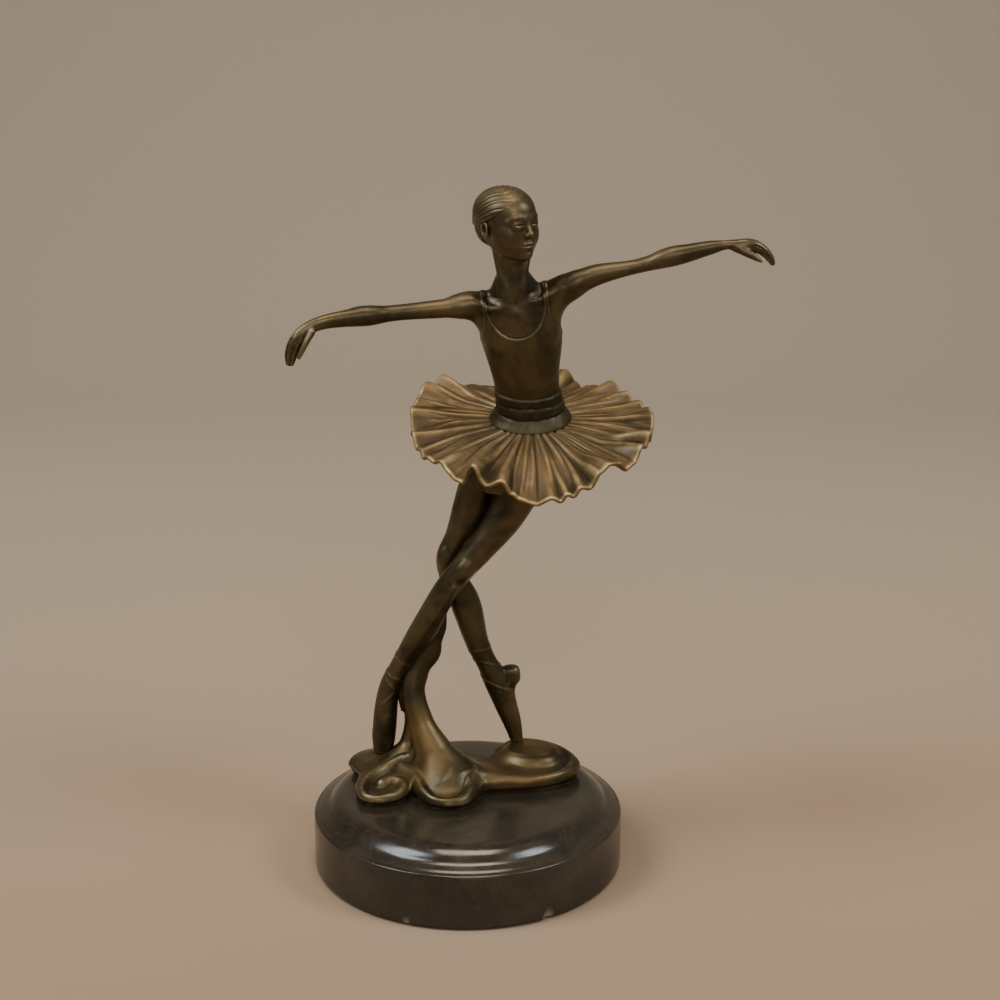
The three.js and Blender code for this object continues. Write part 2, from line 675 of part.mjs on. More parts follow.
const pocketCeiling = FELT_THICKNESS + POCKET_DEPTH;
const STUDS = { front: FRONT_STUD, rear: REAR_STUD };
Object.entries(STUDS).forEach(([side, [x, y]]) => {
  const hardware = new THREE.Group();
  hardware.position.set(x * FIGURE_SCALE, y * FIGURE_SCALE, 0);
  statuette.add(hardware);
  const washerFoot = pocketCeiling - WASHER_THICKNESS;
  const nutFoot = washerFoot - NUT_HEIGHT;
  const studTop = BASE_TOP + STUD_GRIP;
  const start = new THREE.Vector3(0, 0, nutFoot - 1);
  const end = new THREE.Vector3(0, 0, studTop);
  const stud = rod(STUD_RADIUS, start, end, 24);
  addPiece(hardware, `stud_${side}`, stud.geometry, steel).position.copy(stud.middle);
  addPiece(hardware, `washer_${side}`, washer(), steel).position.z = washerFoot;
  addPiece(hardware, `nut_${side}`, nut(), steel).position.z = nutFoot;
});

export default statuette;
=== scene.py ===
"""Looks of the bronze statuette: sculpted castings, pleated skirt, turned marble and patina.

Sculpted shapes are worked out in millimetres above the top of the marble base, as the CAD
stations are, and become metres in the shared frame when their meshes are made.
"""
import math

import bpy
import numpy as np
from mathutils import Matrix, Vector


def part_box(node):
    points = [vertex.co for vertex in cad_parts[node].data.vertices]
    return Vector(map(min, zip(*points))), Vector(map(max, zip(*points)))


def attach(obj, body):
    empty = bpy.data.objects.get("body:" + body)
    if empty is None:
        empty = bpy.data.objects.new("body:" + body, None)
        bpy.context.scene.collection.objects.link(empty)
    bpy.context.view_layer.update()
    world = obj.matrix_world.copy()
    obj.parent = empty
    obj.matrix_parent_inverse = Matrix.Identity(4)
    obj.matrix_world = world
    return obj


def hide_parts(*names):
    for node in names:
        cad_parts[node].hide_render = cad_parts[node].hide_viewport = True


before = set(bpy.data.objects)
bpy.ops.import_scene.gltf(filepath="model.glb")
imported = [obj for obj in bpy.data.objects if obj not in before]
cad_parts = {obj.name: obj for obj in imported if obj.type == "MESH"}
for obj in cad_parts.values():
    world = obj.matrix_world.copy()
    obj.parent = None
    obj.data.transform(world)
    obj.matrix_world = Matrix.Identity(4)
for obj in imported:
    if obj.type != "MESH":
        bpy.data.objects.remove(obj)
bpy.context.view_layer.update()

MM = 0.001
BASE_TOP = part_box("marble_base")[1].z / MM
BASE_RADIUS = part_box("marble_base")[1].x / MM
BASE_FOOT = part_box("marble_base")[0].z / MM
COARSE = 1.0
SEAM_LAP = 0.45
JOINT_CLEARING = (0.5, 1.5)
WORN_BEND = (0.25, 1.3)
HOLLOW_BEND = (0.10, 0.9)
BEND_SPREAD = 0.5


# ---------------------------------------------------------------- sculpting kit

def vec(*xyz):
    return np.array(xyz, dtype=np.float64)


def smooth_min(a, b, k):
    h = np.clip(0.5 + 0.5 * (b - a) / k, 0.0, 1.0)
    return b * (1.0 - h) + a * h - k * h * (1.0 - h)


def smooth_max(a, b, k):
    return -smooth_min(-a, -b, k)


def smooth_step(low, high, x):
    t = np.clip((x - low) / (high - low), 0.0, 1.0)
    return t * t * (3.0 - 2.0 * t)


def bump(x, centre, width):
    """A soft bump of height 1 at centre that dies out over width."""
    return np.exp(-((x - centre) / width) ** 2)


def turn_matrix(x=0.0, y=0.0, z=0.0):
    """Columns are the local axes after turning about X, then Y, then Z, in degrees."""
    cx, sx = math.cos(math.radians(x)), math.sin(math.radians(x))
    cy, sy = math.cos(math.radians(y)), math.sin(math.radians(y))
    cz, sz = math.cos(math.radians(z)), math.sin(math.radians(z))
    rx = np.array([[1, 0, 0], [0, cx, -sx], [0, sx, cx]])
    ry = np.array([[cy, 0, sy], [0, 1, 0], [-sy, 0, cy]])
    rz = np.array([[cz, -sz, 0], [sz, cz, 0], [0, 0, 1]])
    return rz @ ry @ rx


def ellipsoid(p, centre, radii, turn=None):
    q = p - np.asarray(centre, dtype=float)
    if turn is not None:
        q = q @ turn
    r = np.asarray(radii, dtype=float)
    k1 = np.linalg.norm(q / r, axis=1)
    k2 = np.linalg.norm(q / (r * r), axis=1)
    return k1 * (k1 - 1.0) / np.maximum(k2, 1e-6)


def half_space(p, point, normal):
    """Negative on the side that the normal points away from."""
    n = np.asarray(normal, dtype=float)
    return (p - np.asarray(point, dtype=float)) @ (n / np.linalg.norm(n))


def catmull(points, t):
    """Centripetal Catmull-Rom curve through the points, t from 0 to 1."""
    pts = np.asarray(points, dtype=float)
    pts = np.vstack([2 * pts[0] - pts[1], pts, 2 * pts[-1] - pts[-2]])
    count = len(pts) - 3
    u = np.clip(np.asarray(t, dtype=float), 0.0, 1.0) * count
    i = np.minimum(u.astype(int), count - 1)
    w = (u - i)[:, None]
    p0, p1, p2, p3 = pts[i], pts[i + 1], pts[i + 2], pts[i + 3]
    dt0, dt1, dt2 = [np.maximum(np.linalg.norm(b - a, axis=1), 1e-4)[:, None] ** 0.5
                     for a, b in ((p0, p1), (p1, p2), (p2, p3))]
    m1 = ((p1 - p0) / dt0 - (p2 - p0) / (dt0 + dt1) + (p2 - p1) / dt1) * dt1
    m2 = ((p2 - p1) / dt1 - (p3 - p1) / (dt1 + dt2) + (p3 - p2) / dt2) * dt1
    return ((2 * w ** 3 - 3 * w ** 2 + 1) * p1 + (w ** 3 - 2 * w ** 2 + w) * m1
            + (-2 * w ** 3 + 3 * w ** 2) * p2 + (w ** 3 - w ** 2) * m2)


class Spine:
    """A smooth line with an oval section that changes along it."""

    def __init__(self, stations, samples=90):
        rows = np.asarray(stations, dtype=float)
        if rows.shape[1] == 4:
            rows = np.hstack([rows, rows[:, 3:4]])
        t = np.linspace(0.0, 1.0, samples)
        self.centre = catmull(rows[:, :3], t)
        sizes = np.hstack([rows[:, 3:5], np.zeros((len(rows), 1))])
        self.size = catmull(sizes, t)[:, :2]
        step = np.diff(self.centre, axis=0)
        self.length = np.linalg.norm(step, axis=1)
        self.arc = np.concatenate([[0.0], np.cumsum(self.length)])
        self.segment = step / self.length[:, None]
        along = np.gradient(self.centre, axis=0)
        self.along = along / np.linalg.norm(along, axis=1)[:, None]
        wide = np.cross(vec(0, 1, 0), self.along)
        self.wide = wide / np.linalg.norm(wide, axis=1)[:, None]
        self.deep = np.cross(self.along, self.wide)

    def locate(self, p):
        """Place of each point on the line: across, deep, past the end, sizes and arc length."""
        s = self.centre
        d2 = (s * s).sum(1)[None, :] - 2.0 * (p @ s.T)
        near = d2.argmin(axis=1)
        best = None
        for shift in (0, -1):
            i = np.clip(near + shift, 0, len(self.length) - 1)
            q = p - s[i]
            u = np.clip((q * self.segment[i]).sum(1) / self.length[i], 0.0, 1.0)
            gap = q - self.segment[i] * (u * self.length[i])[:, None]
            far = (gap * gap).sum(1)
            if best is None:
                best = [i, u, gap, far]
            else:
                closer = far < best[3]
                best[0] = np.where(closer, i, best[0])
                best[1] = np.where(closer, u, best[1])
                best[2] = np.where(closer[:, None], gap, best[2])
        i, u, gap, _ = best
        v = u[:, None]
        wide = self.wide[i] * (1 - v) + self.wide[i + 1] * v
        deep = self.deep[i] * (1 - v) + self.deep[i + 1] * v
        along = self.along[i] * (1 - v) + self.along[i + 1] * v
        size = self.size[i] * (1 - v) + self.size[i + 1] * v
        arc = self.arc[i] * (1 - u) + self.arc[i + 1] * u
        past = (gap * along).sum(1)
        ends = (arc <= 0.0) | (arc >= self.arc[-1])
        return ((gap * wide).sum(1), (gap * deep).sum(1), np.where(ends, past, 0.0), size, arc)

    def at(self, t):
        """Centre and direction at t, from 0 to 1 along the samples."""
        k = t * (len(self.centre) - 1)
        i = min(int(k), len(self.centre) - 2)
        w = k - i
        centre = self.centre[i] * (1 - w) + self.centre[i + 1] * w
        along = self.along[i] * (1 - w) + self.along[i + 1] * w
        return centre, along / np.linalg.norm(along)


def limb(p, spine, swell=None):
    """Distance to an oval limb. swell(arc, angle) adds to its radius."""
    x, y, past, size, arc = spine.locate(p)
    across = np.hypot(x, y)
    safe = np.maximum(across, 1e-6)
    a, b = size[:, 0], size[:, 1]
    radius = a * b / np.sqrt((b * x / safe) ** 2 + (a * y / safe) ** 2 + 1e-12)
    radius = np.where(across < 1e-5, np.minimum(a, b), radius)
    if swell is not None:
        radius = radius + swell(arc, np.arctan2(y, x))
    return np.sqrt(across ** 2 + past ** 2) - radius


def sweep(p, points, radii, samples=24):
    """Distance to a thin round line through the points, with a radius at each of them."""
    rows = [list(point) + [radius] for point, radius in zip(points, radii)]
    return limb(p, Spine(rows, samples))


BLOCK = 6
CHUNK = 160000


def in_chunks(field, points):
    if len(points) <= CHUNK:
        return field(points)
    return np.concatenate([field(points[i:i + CHUNK]) for i in range(0, len(points), CHUNK)])


def fill_volume(field, low, high, voxel):
    """Signed distances on a grid, worked out only in blocks near the surface."""
    blocks = np.ceil((np.asarray(high) - np.asarray(low)) / voxel / BLOCK).astype(int) + 1
    volume = np.ones(blocks * BLOCK)
    grid = np.stack(np.meshgrid(*[np.arange(n) for n in blocks], indexing="ij"), -1)
    grid = grid.reshape(-1, 3)
    centres = low + (grid + 0.5) * BLOCK * voxel
    coarse = in_chunks(field, centres)
    view = volume.reshape(blocks[0], BLOCK, blocks[1], BLOCK, blocks[2], BLOCK)
    view = view.transpose(0, 2, 4, 1, 3, 5)
    inner = coarse < 0
    view[grid[inner, 0], grid[inner, 1], grid[inner, 2]] = -1.0
    near = np.abs(coarse) < BLOCK * voxel * 1.25 + 0.5
    active = grid[near]
    offset = np.stack(np.meshgrid(*[np.arange(BLOCK)] * 3, indexing="ij"), -1).reshape(-1, 3)
    batch = max(1, CHUNK // len(offset))
    for i in range(0, len(active), batch):
        part = active[i:i + batch]
        spots = low + ((part * BLOCK)[:, None, :] + offset[None]) * voxel
        values = field(spots.reshape(-1, 3)).reshape(len(part), BLOCK, BLOCK, BLOCK)
        view[part[:, 0], part[:, 1], part[:, 2]] = values
    return volume


def surface_net(volume, low, voxel):
    """Quads through the cells where the sign changes."""
    inside = volume < 0
    corners = [(i, j, k) for i in (0, 1) for j in (0, 1) for k in (0, 1)]
    shape = np.array(volume.shape) - 1
    count = np.zeros(shape, dtype=np.uint8)
    for i, j, k in corners:
        count += inside[i:i + shape[0], j:j + shape[1], k:k + shape[2]]
    cells = np.argwhere((count > 0) & (count < 8))
    index = np.full(shape, -1, dtype=np.int64)
    index[cells[:, 0], cells[:, 1], cells[:, 2]] = np.arange(len(cells))
    total = np.zeros((len(cells), 3))
    hits = np.zeros(len(cells))
    for a in corners:
        for axis in range(3):
            if a[axis]:
                continue
            b = list(a)
            b[axis] = 1
            va = volume[tuple((cells + a).T)]
            vb = volume[tuple((cells + b).T)]
            crossing = (va < 0) != (vb < 0)
            share = np.where(crossing, va / np.where(crossing, va - vb, 1.0), 0.0)
            spot = np.tile(np.array(a, dtype=float), (len(cells), 1))
            spot[:, axis] = share
            total += spot * crossing[:, None]
            hits += crossing
    verts = low + (cells + total / hits[:, None]) * voxel
    quads = []
    for axis in range(3):
        one, two = [n for n in range(3) if n != axis]
        first = [slice(1, -1)] * 3
        second = [slice(1, -1)] * 3
        first[axis] = slice(0, -1)
        second[axis] = slice(1, None)
        here, there = inside[tuple(first)], inside[tuple(second)]
        edges = np.argwhere(here != there)
        flip = here[tuple(edges.T)]
        edges = edges + 1
        edges[:, axis] -= 1
        ring = []
        for i, j in ((0, 0), (1, 0), (1, 1), (0, 1)):
            cell = edges.copy()
            cell[:, one] -= i
            cell[:, two] -= j
            ring.append(index[tuple(cell.T)])
        quad = np.stack(ring, axis=1)
        if axis == 1:
            flip = ~flip
        quads.append(np.where(flip[:, None], quad, quad[:, ::-1]))
    return verts, np.vstack(quads)


def gradient(field, points, step=0.04):
    here = in_chunks(field, points)
    slopes = [(in_chunks(field, points + step * axis) - here) / step for axis in np.eye(3)]
    return here, np.stack(slopes, axis=1)


def settle(field, verts, voxel, rounds=2):
    """Moves vertices onto the true surface."""
    for _ in range(rounds):
        value, slope = gradient(field, verts)
        size = np.maximum((slope * slope).sum(1), 0.2)
        move = -(value / size)[:, None] * slope
        length = np.linalg.norm(move, axis=1)
        cap = np.minimum(1.0, 0.6 * voxel / np.maximum(length, 1e-9))
        verts = verts + move * cap[:, None]
    return verts


def neighbour_mean(values, faces, count):
    """Mean of each vertex's neighbours along the face edges."""
    tail = faces.reshape(-1)
    head = np.roll(faces, -1, axis=1).reshape(-1)
    weight = np.bincount(tail, minlength=count) + np.bincount(head, minlength=count)
    columns = []
    for k in range(values.shape[1]):
        v = values[:, k]
        total = np.bincount(tail, weights=v[head], minlength=count)
        total += np.bincount(head, weights=v[tail], minlength=count)
        columns.append(total / np.maximum(weight, 1))
    return np.stack(columns, axis=1)


def face_normals(verts, faces):
    a, b, c, d = (verts[faces[:, k]] for k in range(4))
    n = np.cross(c - a, d - b)
    return n / np.maximum(np.linalg.norm(n, axis=1), 1e-12)[:, None]


def vertex_normals(verts, faces):
    n = face_normals(verts, faces)
    total = np.zeros_like(verts)
    for k in range(4):
        for axis in range(3):
            total[:, axis] += np.bincount(faces[:, k], weights=n[:, axis], minlength=len(verts))
    return total / np.maximum(np.linalg.norm(total, axis=1), 1e-12)[:, None]


def relax(verts, faces, rounds=1):
    """Smooths out grid noise without shrinking the form."""
    for _ in range(rounds):
        for amount in (0.5, -0.53):
            verts = verts + amount * (neighbour_mean(verts, faces, len(verts)) - verts)
    return verts


def curvature(verts, faces, spread):
    """Signed bend of the surface, in 1/mm: positive on ridges and negative in hollows."""
    normals = vertex_normals(verts, faces)
    mean = neighbour_mean(verts, faces, len(verts))
    edge = np.linalg.norm(verts[faces[:, 0]] - verts[faces[:, 1]], axis=1).mean()
    bend = ((verts - mean) * normals).sum(1, keepdims=True) * 4.0 / edge ** 2
    for _ in range(max(1, int(spread))):
        bend = neighbour_mean(bend, faces, len(verts))
    return bend[:, 0]


def make_object(name, verts, faces, attributes, material, smooth_angle=38.0):
    """A mesh object in metres from vertices in mm above the base top."""
    mesh = bpy.data.meshes.new(name)
    placed = (verts + vec(0, 0, BASE_TOP)) * MM
    mesh.from_pydata(placed.tolist(), [], list(faces))
    for key, values in attributes.items():
        layer = mesh.attributes.new(key, "FLOAT", "POINT")
        layer.data.foreach_set("value", np.asarray(values, dtype=np.float32))
    mesh.shade_smooth()
    mesh.set_sharp_from_angle(angle=math.radians(smooth_angle))
    mesh.materials.append(material)
    obj = bpy.data.objects.new(name, mesh)
    bpy.context.scene.collection.objects.link(obj)
    return obj


def patina_attributes(verts, faces, voxel, joints, shade):
    """Rubbed ridges and dark hollows, with an extra darkening added on top; on the sash that
    extra darkening is painted shade. The joints between castings stay unmarked.
    """
    bend = curvature(verts, faces, spread=BEND_SPREAD / voxel + 1)
    clear = np.ones(len(verts))
    for point, normal in joints:
        clear *= smooth_step(*JOINT_CLEARING, np.abs(half_space(verts, point, normal)))
    wear_gain, cavity_gain, extra_dark_and_painted_shade = shade(verts)
    wear = smooth_step(*WORN_BEND, bend) * clear * wear_gain
    darkening_and_painted_shade = smooth_step(*HOLLOW_BEND, -bend) * clear * cavity_gain
    # The extra darkening joins the hollows in one mask; on the sash it is painted shade.
    return {"wear": wear, "darkening_and_painted_shade": np.clip(darkening_and_painted_shade + extra_dark_and_painted_shade, 0.0, 1.0)}


def shaded(wear_gain=1.0, cavity_gain=1.0, extra_dark_and_painted_shade=0.0):
    """Gain of the wear, gain of the hollows' darkness and an extra darkening, alike all over; on
    the sash the extra darkening is painted shade.
    """
    return lambda verts: (wear_gain, cavity_gain, extra_dark_and_painted_shade)


def sculpt(replaces, field, low, high, voxel, joints=(), shade=shaded(), material=None,
           name=None):
    """Turns a distance field into a finished casting that stands for a CAD node."""
    voxel = voxel * COARSE
    low = np.asarray(low, dtype=float)
    volume = fill_volume(field, low, np.asarray(high, dtype=float), voxel)
    verts, faces = surface_net(volume, low, voxel)
    verts = settle(field, verts, voxel)
    verts = relax(verts, faces)
    attributes = patina_attributes(verts, faces, voxel, joints, shade)
    name = name or replaces + "_sculpted"
    obj = make_object(name, verts, faces.tolist(), attributes, material or figure_bronze)
    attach(obj, "root")
    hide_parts(replaces)


# ---------------------------------------------------------------- wave noise

def waves(p, size, seed, count=6):
    """A smooth wavy noise from -1 to 1 with features of about the given size, in mm."""
    rng = np.random.default_rng(seed)
    total = np.zeros(len(p))
    for _ in range(count):
        direction = rng.normal(size=3)
        direction *= 2 * math.pi / size / np.linalg.norm(direction) * rng.uniform(0.6, 1.4)
        total += np.sin(p @ direction + rng.uniform(0, 2 * math.pi))
    return total / count * 1.4


# ---------------------------------------------------------------- the pose
# Stations are [x, y, z, half width, half depth], the same as the CAD's.

LEFT_LEG = [
    [25.5, 10.5, 132.0, 9.6, 10.0],
    [14.6, 8.0, 109.5, 7.0, 7.4],
    [6.2, 7.0, 98.0, 5.4, 5.8],
    [-2.0, 7.0, 88.5, 4.9, 5.2],
    [-7.8, 8.0, 80.5, 4.8, 5.0],
    [-16.7, 12.0, 63.3, 5.1, 5.4],
    [-26.9, 17.0, 44.7, 4.0, 4.3],
    [-31.2, 18.8, 35.0, 4.2, 4.4],
    [-33.0, 18.8, 23.0, 4.7, 4.9],
    [-33.8, 19.2, 14.0, 4.5, 4.6],
    [-34.3, 19.5, 7.0, 3.4, 3.6],
]
LEFT_TOE_HEIGHT = 8.5
RIGHT_LEG = [
    [9.5, 16.0, 132.0, 9.0, 9.6],
    [2.2, 17.5, 114.0, 6.8, 7.2],
    [-3.4, 18.5, 98.0, 5.3, 5.8],
    [-7.2, 19.0, 89.5, 4.9, 5.2],
    [-5.6, 19.8, 81.0, 5.2, 5.4],
    [-0.9, 20.5, 70.0, 5.8, 5.8],
    [3.6, 21.8, 53.5, 4.6, 4.8],
    [7.2, 22.8, 44.8, 4.1, 4.6],
    [11.6, 24.0, 35.6, 5.0, 4.3],
    [14.6, 24.8, 26.2, 4.2, 4.0],
    [17.8, 25.4, 15.4, 2.8, 3.0],
    [19.8, 25.6, 8.0, 2.0, 2.2],
]
RIGHT_TOE_HEIGHT = 10.6
HIP_SEAM_HEIGHT = 119.5
TRUNK = [
    [17.5, 13.0, 121.0, 13.0, 10.5],
    [19.5, 13.0, 130.0, 15.0, 11.6],
    [22.9, 12.9, 139.5, 13.0, 10.2],
    [24.2, 12.2, 147.5, 11.6, 9.0],
    [23.6, 11.0, 154.0, 11.2, 8.8],
    [22.2, 8.8, 165.0, 12.3, 9.4],
    [20.8, 6.2, 178.0, 14.6, 10.6],
    [19.2, 3.4, 188.0, 15.0, 9.0],
    [18.3, 1.8, 194.0, 12.6, 7.0],
    [17.8, 1.2, 197.0, 8.0, 5.6],
]
WAIST_SEAM = 0.43
NECK = [
    [18.2, 2.2, 190.0, 7.2, 6.6],
    [17.4, 1.0, 198.0, 5.7, 5.5],
    [17.0, 0.2, 206.0, 5.3, 5.3],
    [16.2, -0.6, 216.0, 5.4, 5.6],
]
NECK_SEAM = 0.667
RIGHT_ARM = [
    [9.0, 3.4, 188.5, 6.2, 6.0],
    [0.2, 1.8, 191.3, 4.3, 4.6],
    [-7.0, 0.2, 190.8, 3.5, 3.8],
    [-24.9, -4.0, 189.9, 2.9, 3.2],
    [-35.5, -6.8, 189.2, 3.5, 3.6],
    [-44.2, -9.0, 188.6, 3.0, 2.8],
    [-51.4, -11.2, 187.6, 2.5, 2.1],
    [-55.6, -12.4, 186.0, 2.4, 2.0],
    [-58.7, -13.4, 183.4, 2.7, 1.9],
    [-60.9, -14.0, 180.2, 2.7, 1.8],
    [-62.2, -14.4, 176.6, 2.4, 1.6],
    [-62.6, -14.6, 174.2, 1.8, 1.3],
]
RIGHT_SHOULDER_SEAM = 0.098
LEFT_ARM = [
    [28.5, 3.4, 190.0, 6.2, 6.0],
    [36.6, 1.6, 197.2, 4.6, 4.8],
    [45.9, 0.4, 202.4, 4.0, 4.2],
    [62.3, -1.6, 206.5, 2.6, 3.2],
    [76.0, -3.2, 210.4, 3.4, 3.5],
    [88.0, -4.5, 213.6, 2.5, 2.7],
    [93.8, -5.0, 214.7, 1.7, 1.9],
    [97.4, -5.1, 214.6, 2.1, 2.1],
    [101.0, -5.2, 214.6, 2.4, 2.1],
    [104.1, -5.2, 214.1, 2.2, 1.9],
    [107.0, -5.2, 212.4, 1.9, 1.7],
    [109.2, -5.2, 209.9, 1.5, 1.4],
    [110.2, -5.2, 208.1, 1.0, 0.9],
]
LEFT_SHOULDER_SEAM = 0.079
STEM = [
    [-9.0, 2.0, 4.0, 13.0, 12.0],
    [-13.6, 5.5, 14.0, 7.2, 7.4],
    [-18.2, 9.4, 24.0, 4.6, 5.0],
    [-21.2, 13.4, 36.0, 3.9, 4.8],
    [-19.4, 16.6, 45.0, 4.2, 5.0],
    [-16.2, 17.8, 51.0, 5.1, 5.1],
    [-14.6, 18.0, 56.0, 4.2, 4.6],
    [-12.4, 16.8, 62.0, 3.7, 4.0],
    [-10.6, 14.8, 69.5, 2.2, 2.4],
]
STEM_BRANCH = [
    [-20.2, 17.0, 41.0, 3.8, 4.0],
    [-22.8, 19.0, 31.0, 3.3, 3.8],
    [-22.0, 19.4, 21.0, 3.4, 3.6],
    [-23.8, 18.4, 12.0, 3.6, 4.0],
    [-28.0, 15.0, 4.0, 5.0, 6.0],
]
HEAD_CENTRE = vec(15.2, -2.4, 223.2)
HEAD_YAW = 41.0
HEAD_ROLL = -2.0
SKIRT_CENTRE = vec(24.2, 12.0, 146.0)
SKIRT_TILT = 15.0
SKIRT_RADIUS = 45.5
SKIRT_THICKNESS = 1.3

left_leg_line = Spine(LEFT_LEG, 120)
right_leg_line = Spine(RIGHT_LEG, 120)
trunk_line = Spine(TRUNK, 90)
neck_line = Spine(NECK, 40)
right_arm_line = Spine(RIGHT_ARM, 110)
left_arm_line = Spine(LEFT_ARM, 110)
stem_line = Spine(STEM, 80)
branch_line = Spine(STEM_BRANCH, 60)

# Each joint is a point on the seam and the way square to it.
WAIST_JOINT = trunk_line.at(WAIST_SEAM)
NECK_JOINT = neck_line.at(NECK_SEAM)
RIGHT_JOINT = right_arm_line.at(RIGHT_SHOULDER_SEAM)
LEFT_JOINT = left_arm_line.at(LEFT_SHOULDER_SEAM)
HIP_JOINT = (vec(0, 0, HIP_SEAM_HEIGHT), vec(0, 0, 1))


# ---------------------------------------------------------------- upper body

CHEST = vec(19.4, -3.0, 186.0)
CHEST_TURN = turn_matrix(x=14.0, y=-8.0, z=0.0)


def chest_place(p):
    """Across, out of the chest, and up, from the middle of the chest."""
    return (p - CHEST) @ CHEST_TURN


NECK_CORDS = [
    # the right and left tendons, then the throat, each with its radii
    ([(10.6, 1.6, 213.0), (12.7, -1.8, 205.0), (14.9, -3.4, 198.0), (17.0, -3.0, 192.6)],
     [1.1, 1.4, 1.25, 0.8]),
    ([(23.4, 0.8, 213.0), (21.4, -2.4, 205.0), (20.9, -3.7, 198.6), (19.8, -2.8, 193.4)],
     [1.1, 1.4, 1.25, 0.8]),
    ([(17.8, -3.6, 212.0), (18.2, -3.7, 204.0), (18.4, -3.4, 197.0)], [1.4, 1.4, 1.0]),
]


def neck_form(p):
    body = limb(p, neck_line)
    for line, radii in NECK_CORDS:
        body = smooth_min(body, sweep(p, line, radii), 1.6)
    return body


def collar_form(p):
    """Collarbones, shoulder caps, shoulder blades and the slope of the neck."""
    right_bone = sweep(p, [(15.6, -3.2, 192.2), (9.6, -3.8, 191.4), (3.4, -0.6, 193.2)],
                       [1.1, 0.95, 1.3])
    left_bone = sweep(p, [(20.8, -3.0, 193.2), (27.0, -3.2, 194.6), (33.6, -0.8, 198.4)],
                      [1.1, 0.95, 1.3])
    right_slope = sweep(p, [(15.0, 3.2, 199.0), (9.4, 3.6, 194.6), (2.0, 2.6, 193.4)],
                        [3.0, 2.4, 2.4])
    left_slope = sweep(p, [(20.6, 3.0, 199.6), (26.4, 3.4, 197.2), (34.4, 2.4, 199.2)],
                       [3.0, 2.4, 2.4])
    bones = smooth_min(right_bone, left_bone, 0.5)
    slopes = smooth_min(right_slope, left_slope, 1.0)
    right_blade = ellipsoid(p, (11.0, 10.6, 184.0), (4.2, 1.8, 6.0), turn_matrix(x=10, z=8))
    left_blade = ellipsoid(p, (28.0, 10.8, 186.4), (4.2, 1.8, 6.0), turn_matrix(x=10, z=-8))
    blades = np.minimum(right_blade, left_blade)
    return bones, slopes, blades


def arm_form(p, line, knuckles, cap, elbow, forearm):
    body = limb(p, line, fingers_grooved(knuckles))
    body = smooth_min(body, ellipsoid(p, *cap), 2.5)
    body = smooth_min(body, ellipsoid(p, *elbow), 1.2)
    return smooth_min(body, ellipsoid(p, *forearm), 1.5)


RIGHT_CAP = ((-1.0, 1.4, 191.4), (5.4, 4.5, 4.2))
RIGHT_ELBOW = ((-26.2, -2.4, 189.0), (2.6, 1.8, 1.7))
RIGHT_FOREARM = ((-35.5, -6.6, 189.6), (7.0, 3.4, 3.1))
LEFT_CAP = ((38.4, 1.4, 198.8), (6.0, 4.7, 4.4), turn_matrix(y=-32))
LEFT_ELBOW = ((62.0, 0.4, 205.8), (2.6, 1.8, 1.7))
LEFT_FOREARM = ((73.5, -3.0, 210.4), (7.0, 3.4, 3.0), turn_matrix(y=-15))


def upper_body(p):
    """The whole of the trunk above the waist with neck, shoulders and upper arms, unclothed."""
    body = limb(p, trunk_line)
    q = chest_place(p)
    for side in (-1, 1):
        place = (6.6 * side + 0.3, 2.4, -6.2)
        bust = ellipsoid(q, place, (5.9, 4.3, 5.6), turn_matrix(z=-8 * side))
        body = smooth_min(body, bust, 3.2)
    bones, slopes, blades = collar_form(p)
    body = smooth_min(body, slopes, 3.4)
    body = smooth_min(body, neck_form(p), 3.0)
    body = smooth_min(body, bones, 1.5)
    body = smooth_min(body, blades, 3.0)
    arms = np.minimum(
        arm_form(p, right_arm_line, RIGHT_KNUCKLES, RIGHT_CAP, RIGHT_ELBOW, RIGHT_FOREARM),
        arm_form(p, left_arm_line, LEFT_KNUCKLES, LEFT_CAP, LEFT_ELBOW, LEFT_FOREARM),
    )
    body = smooth_min(body, arms, 3.4)
    notch = np.linalg.norm(p - vec(18.4, -4.4, 193.2), axis=1)
    body = body + 0.7 * bump(notch, 0, 2.3)
    back = q[:, 1] - 6.0
    furrow = 0.7 * bump(q[:, 0] + 0.4, 0, 1.5) * smooth_step(2.0, 7.0, back)
    furrow *= smooth_step(-34.0, -26.0, q[:, 2]) * smooth_step(8.0, 0.0, q[:, 2])
    return body + furrow


def bodice_edge(p):
    """Positive under the bodice and negative on bare skin, in mm from its edge."""
    q = chest_place(p)
    across, up = q[:, 0] + 0.3, q[:, 2]
    front = smooth_step(6.0, 2.0, q[:, 1])
    depth = 12.0 * front + 19.0 * (1 - front)
    below = np.minimum(up - 7.0, 0.0)
    scoop = (np.sqrt((across / 10.4) ** 2 + (below / depth) ** 2) - 1.0) * 9.0
    beside = np.minimum(np.abs(across) - 18.0, 0.0)
    holes = (np.sqrt((beside / 5.9) ** 2 + (below / 16.0) ** 2) - 1.0) * 5.5
    return np.minimum(scoop, holes)


def dressed_body(p):
    """The upper body with the bodice laid on as a thin raised skin with a corded edge."""
    body = upper_body(p)
    edge = bodice_edge(p)
    skin = 0.22 * smooth_step(-0.3, 0.3, edge)
    cord = 0.17 * bump(edge, 0.4, 0.5)
    return body - skin - cord


def torso_field(p):
    body = np.maximum(dressed_body(p), -half_space(p, *WAIST_JOINT) - SEAM_LAP)
    for joint in (NECK_JOINT, RIGHT_JOINT, LEFT_JOINT):
        body = np.maximum(body, half_space(p, *joint) - SEAM_LAP)
    return body


